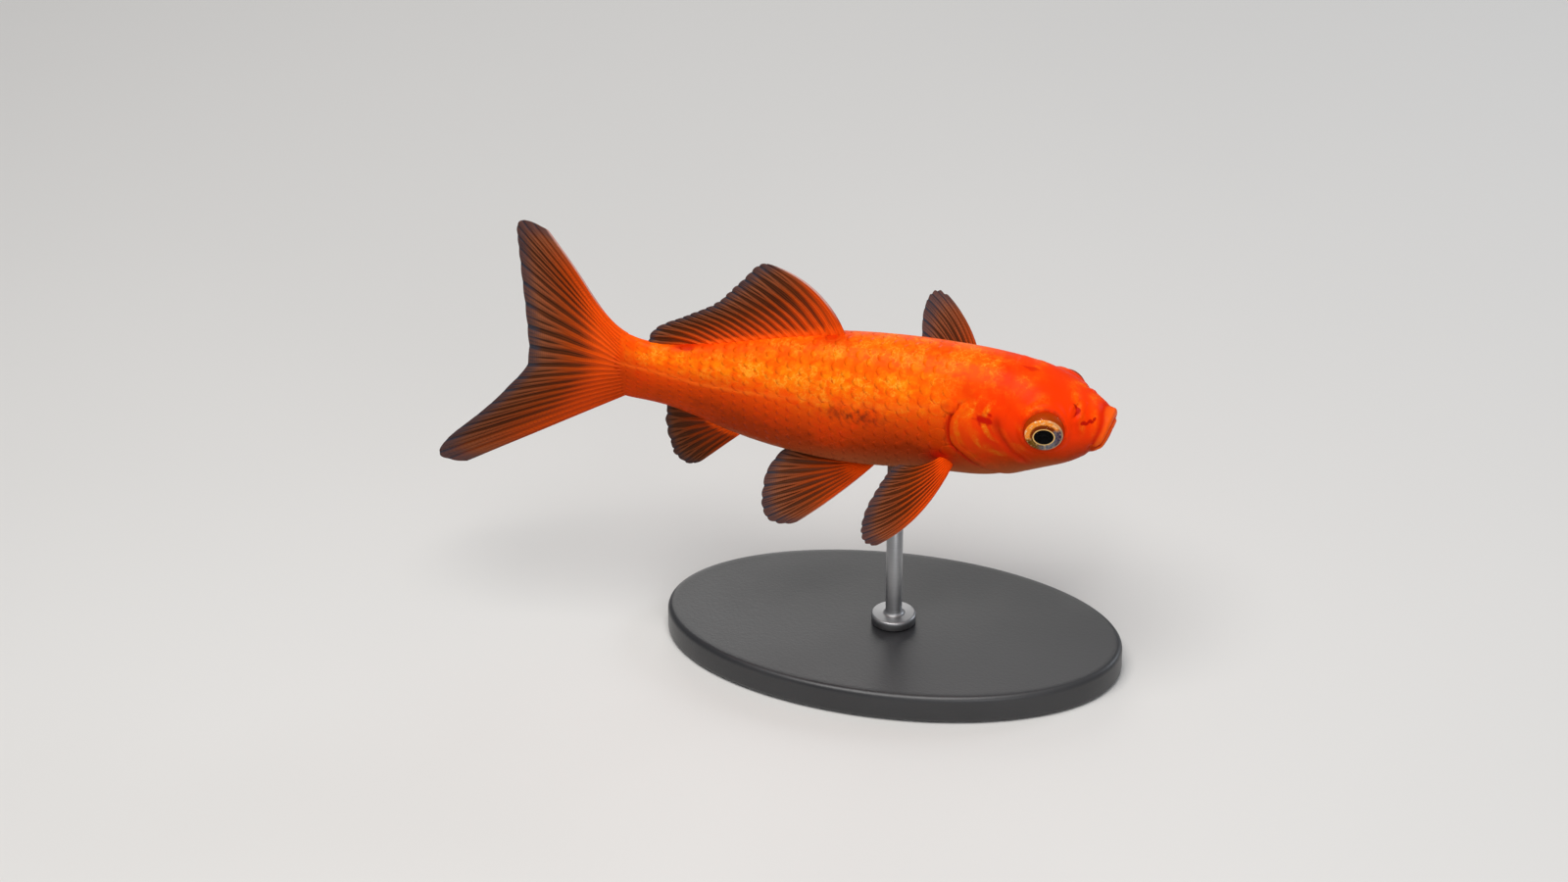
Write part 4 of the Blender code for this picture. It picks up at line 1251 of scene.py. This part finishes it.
room = {
    "floor": (0.72, 0.71, 0.69),
    "floorReach": 4.0,  # metres
    "sky": (0.9, 0.93, 1.0),
    "skyStrength": 0.2,
    "target": (-15.15, -0.03, 29.8),
    "distance": 575.0,
    "azimuth": 14.0,
    "elevation": 30.0,
    "lens": 100.0,
    "lights": [  # name, place and aim in metres, size, power, colour
        ("softboxAbove", (-0.03, -0.16, 0.46), (-0.015, 0.0, 0.03), 0.34, 2.0, (1.0, 0.98, 0.96)),
        ("softboxFront", (0.25, -0.5, 0.28), (0.0, 0.0, 0.035), 0.3, 0.68, (0.97, 0.98, 1.0)),
        ("rimBehind", (0.3, 0.3, 0.2), (0.0, 0.0, 0.035), 0.16, 0.35, (0.85, 0.92, 1.0)),
        ("fillBehind", (-0.2, 0.6, 0.22), (-0.015, 0.0, 0.035), 0.4, 0.8, (1.0, 0.98, 0.95)),
    ],
}


def setUp(name, data, at, aim):
    # a light or camera, turned so that it looks at its aim
    thing = bpy.data.objects.new(name, data)
    thing.location = at
    thing.rotation_mode = "QUATERNION"
    thing.rotation_quaternion = (Vector(aim) - Vector(at)).to_track_quat("-Z", "Y")
    bpy.context.scene.collection.objects.link(thing)
    return thing


def buildRoom():
    reach = room["floorReach"]
    mesh = bpy.data.meshes.new("floor")
    corners = [(-reach, -reach, 0.0), (reach, -reach, 0.0), (reach, reach, 0.0), (-reach, reach, 0.0)]
    mesh.from_pydata(corners, [], [(0, 1, 2, 3)])
    floor = bpy.data.objects.new("floor", mesh)
    bpy.context.scene.collection.objects.link(floor)
    material, tree, shader = newMaterial("paleFloor", {"Roughness": 0.7, "Specular IOR Level": 0.2})
    darker = tuple(0.96 * part for part in room["floor"])
    feed(shader.inputs["Base Color"], mix(noise(objectPlace(tree), 9.0, 4.0), room["floor"], darker))
    mesh.materials.append(material)
    for name, at, aim, size, watts, colour in room["lights"]:
        light = bpy.data.lights.new(name, "AREA")
        light.shape = "DISK"
        light.size, light.energy, light.color = size, watts, colour
        setUp(name, light, at, aim)
    world = bpy.data.worlds.new("paleRoom")
    world.use_nodes = True
    world.node_tree.nodes["Background"].inputs[0].default_value = (*room["sky"], 1.0)
    world.node_tree.nodes["Background"].inputs[1].default_value = room["skyStrength"]
    bpy.context.scene.world = world


def buildCamera():
    azimuth, elevation = np.radians(room["azimuth"]), np.radians(room["elevation"])
    level = np.array((np.sin(azimuth), -np.cos(azimuth), 0.0))
    back = level * np.cos(elevation) + np.array((0.0, 0.0, np.sin(elevation)))
    lens = bpy.data.cameras.new("camera")
    lens.lens, lens.sensor_width = room["lens"], 36.0
    lens.clip_start, lens.clip_end = 0.01, 20.0
    target = np.array(room["target"]) * mm
    bpy.context.scene.camera = setUp("camera", lens, target + back * room["distance"] * mm, target)


buildRoom()
buildCamera()
bpy.context.scene.view_settings.view_transform = "Standard"
bpy.context.scene.view_settings.look = "None"
print("room, lights and camera made")
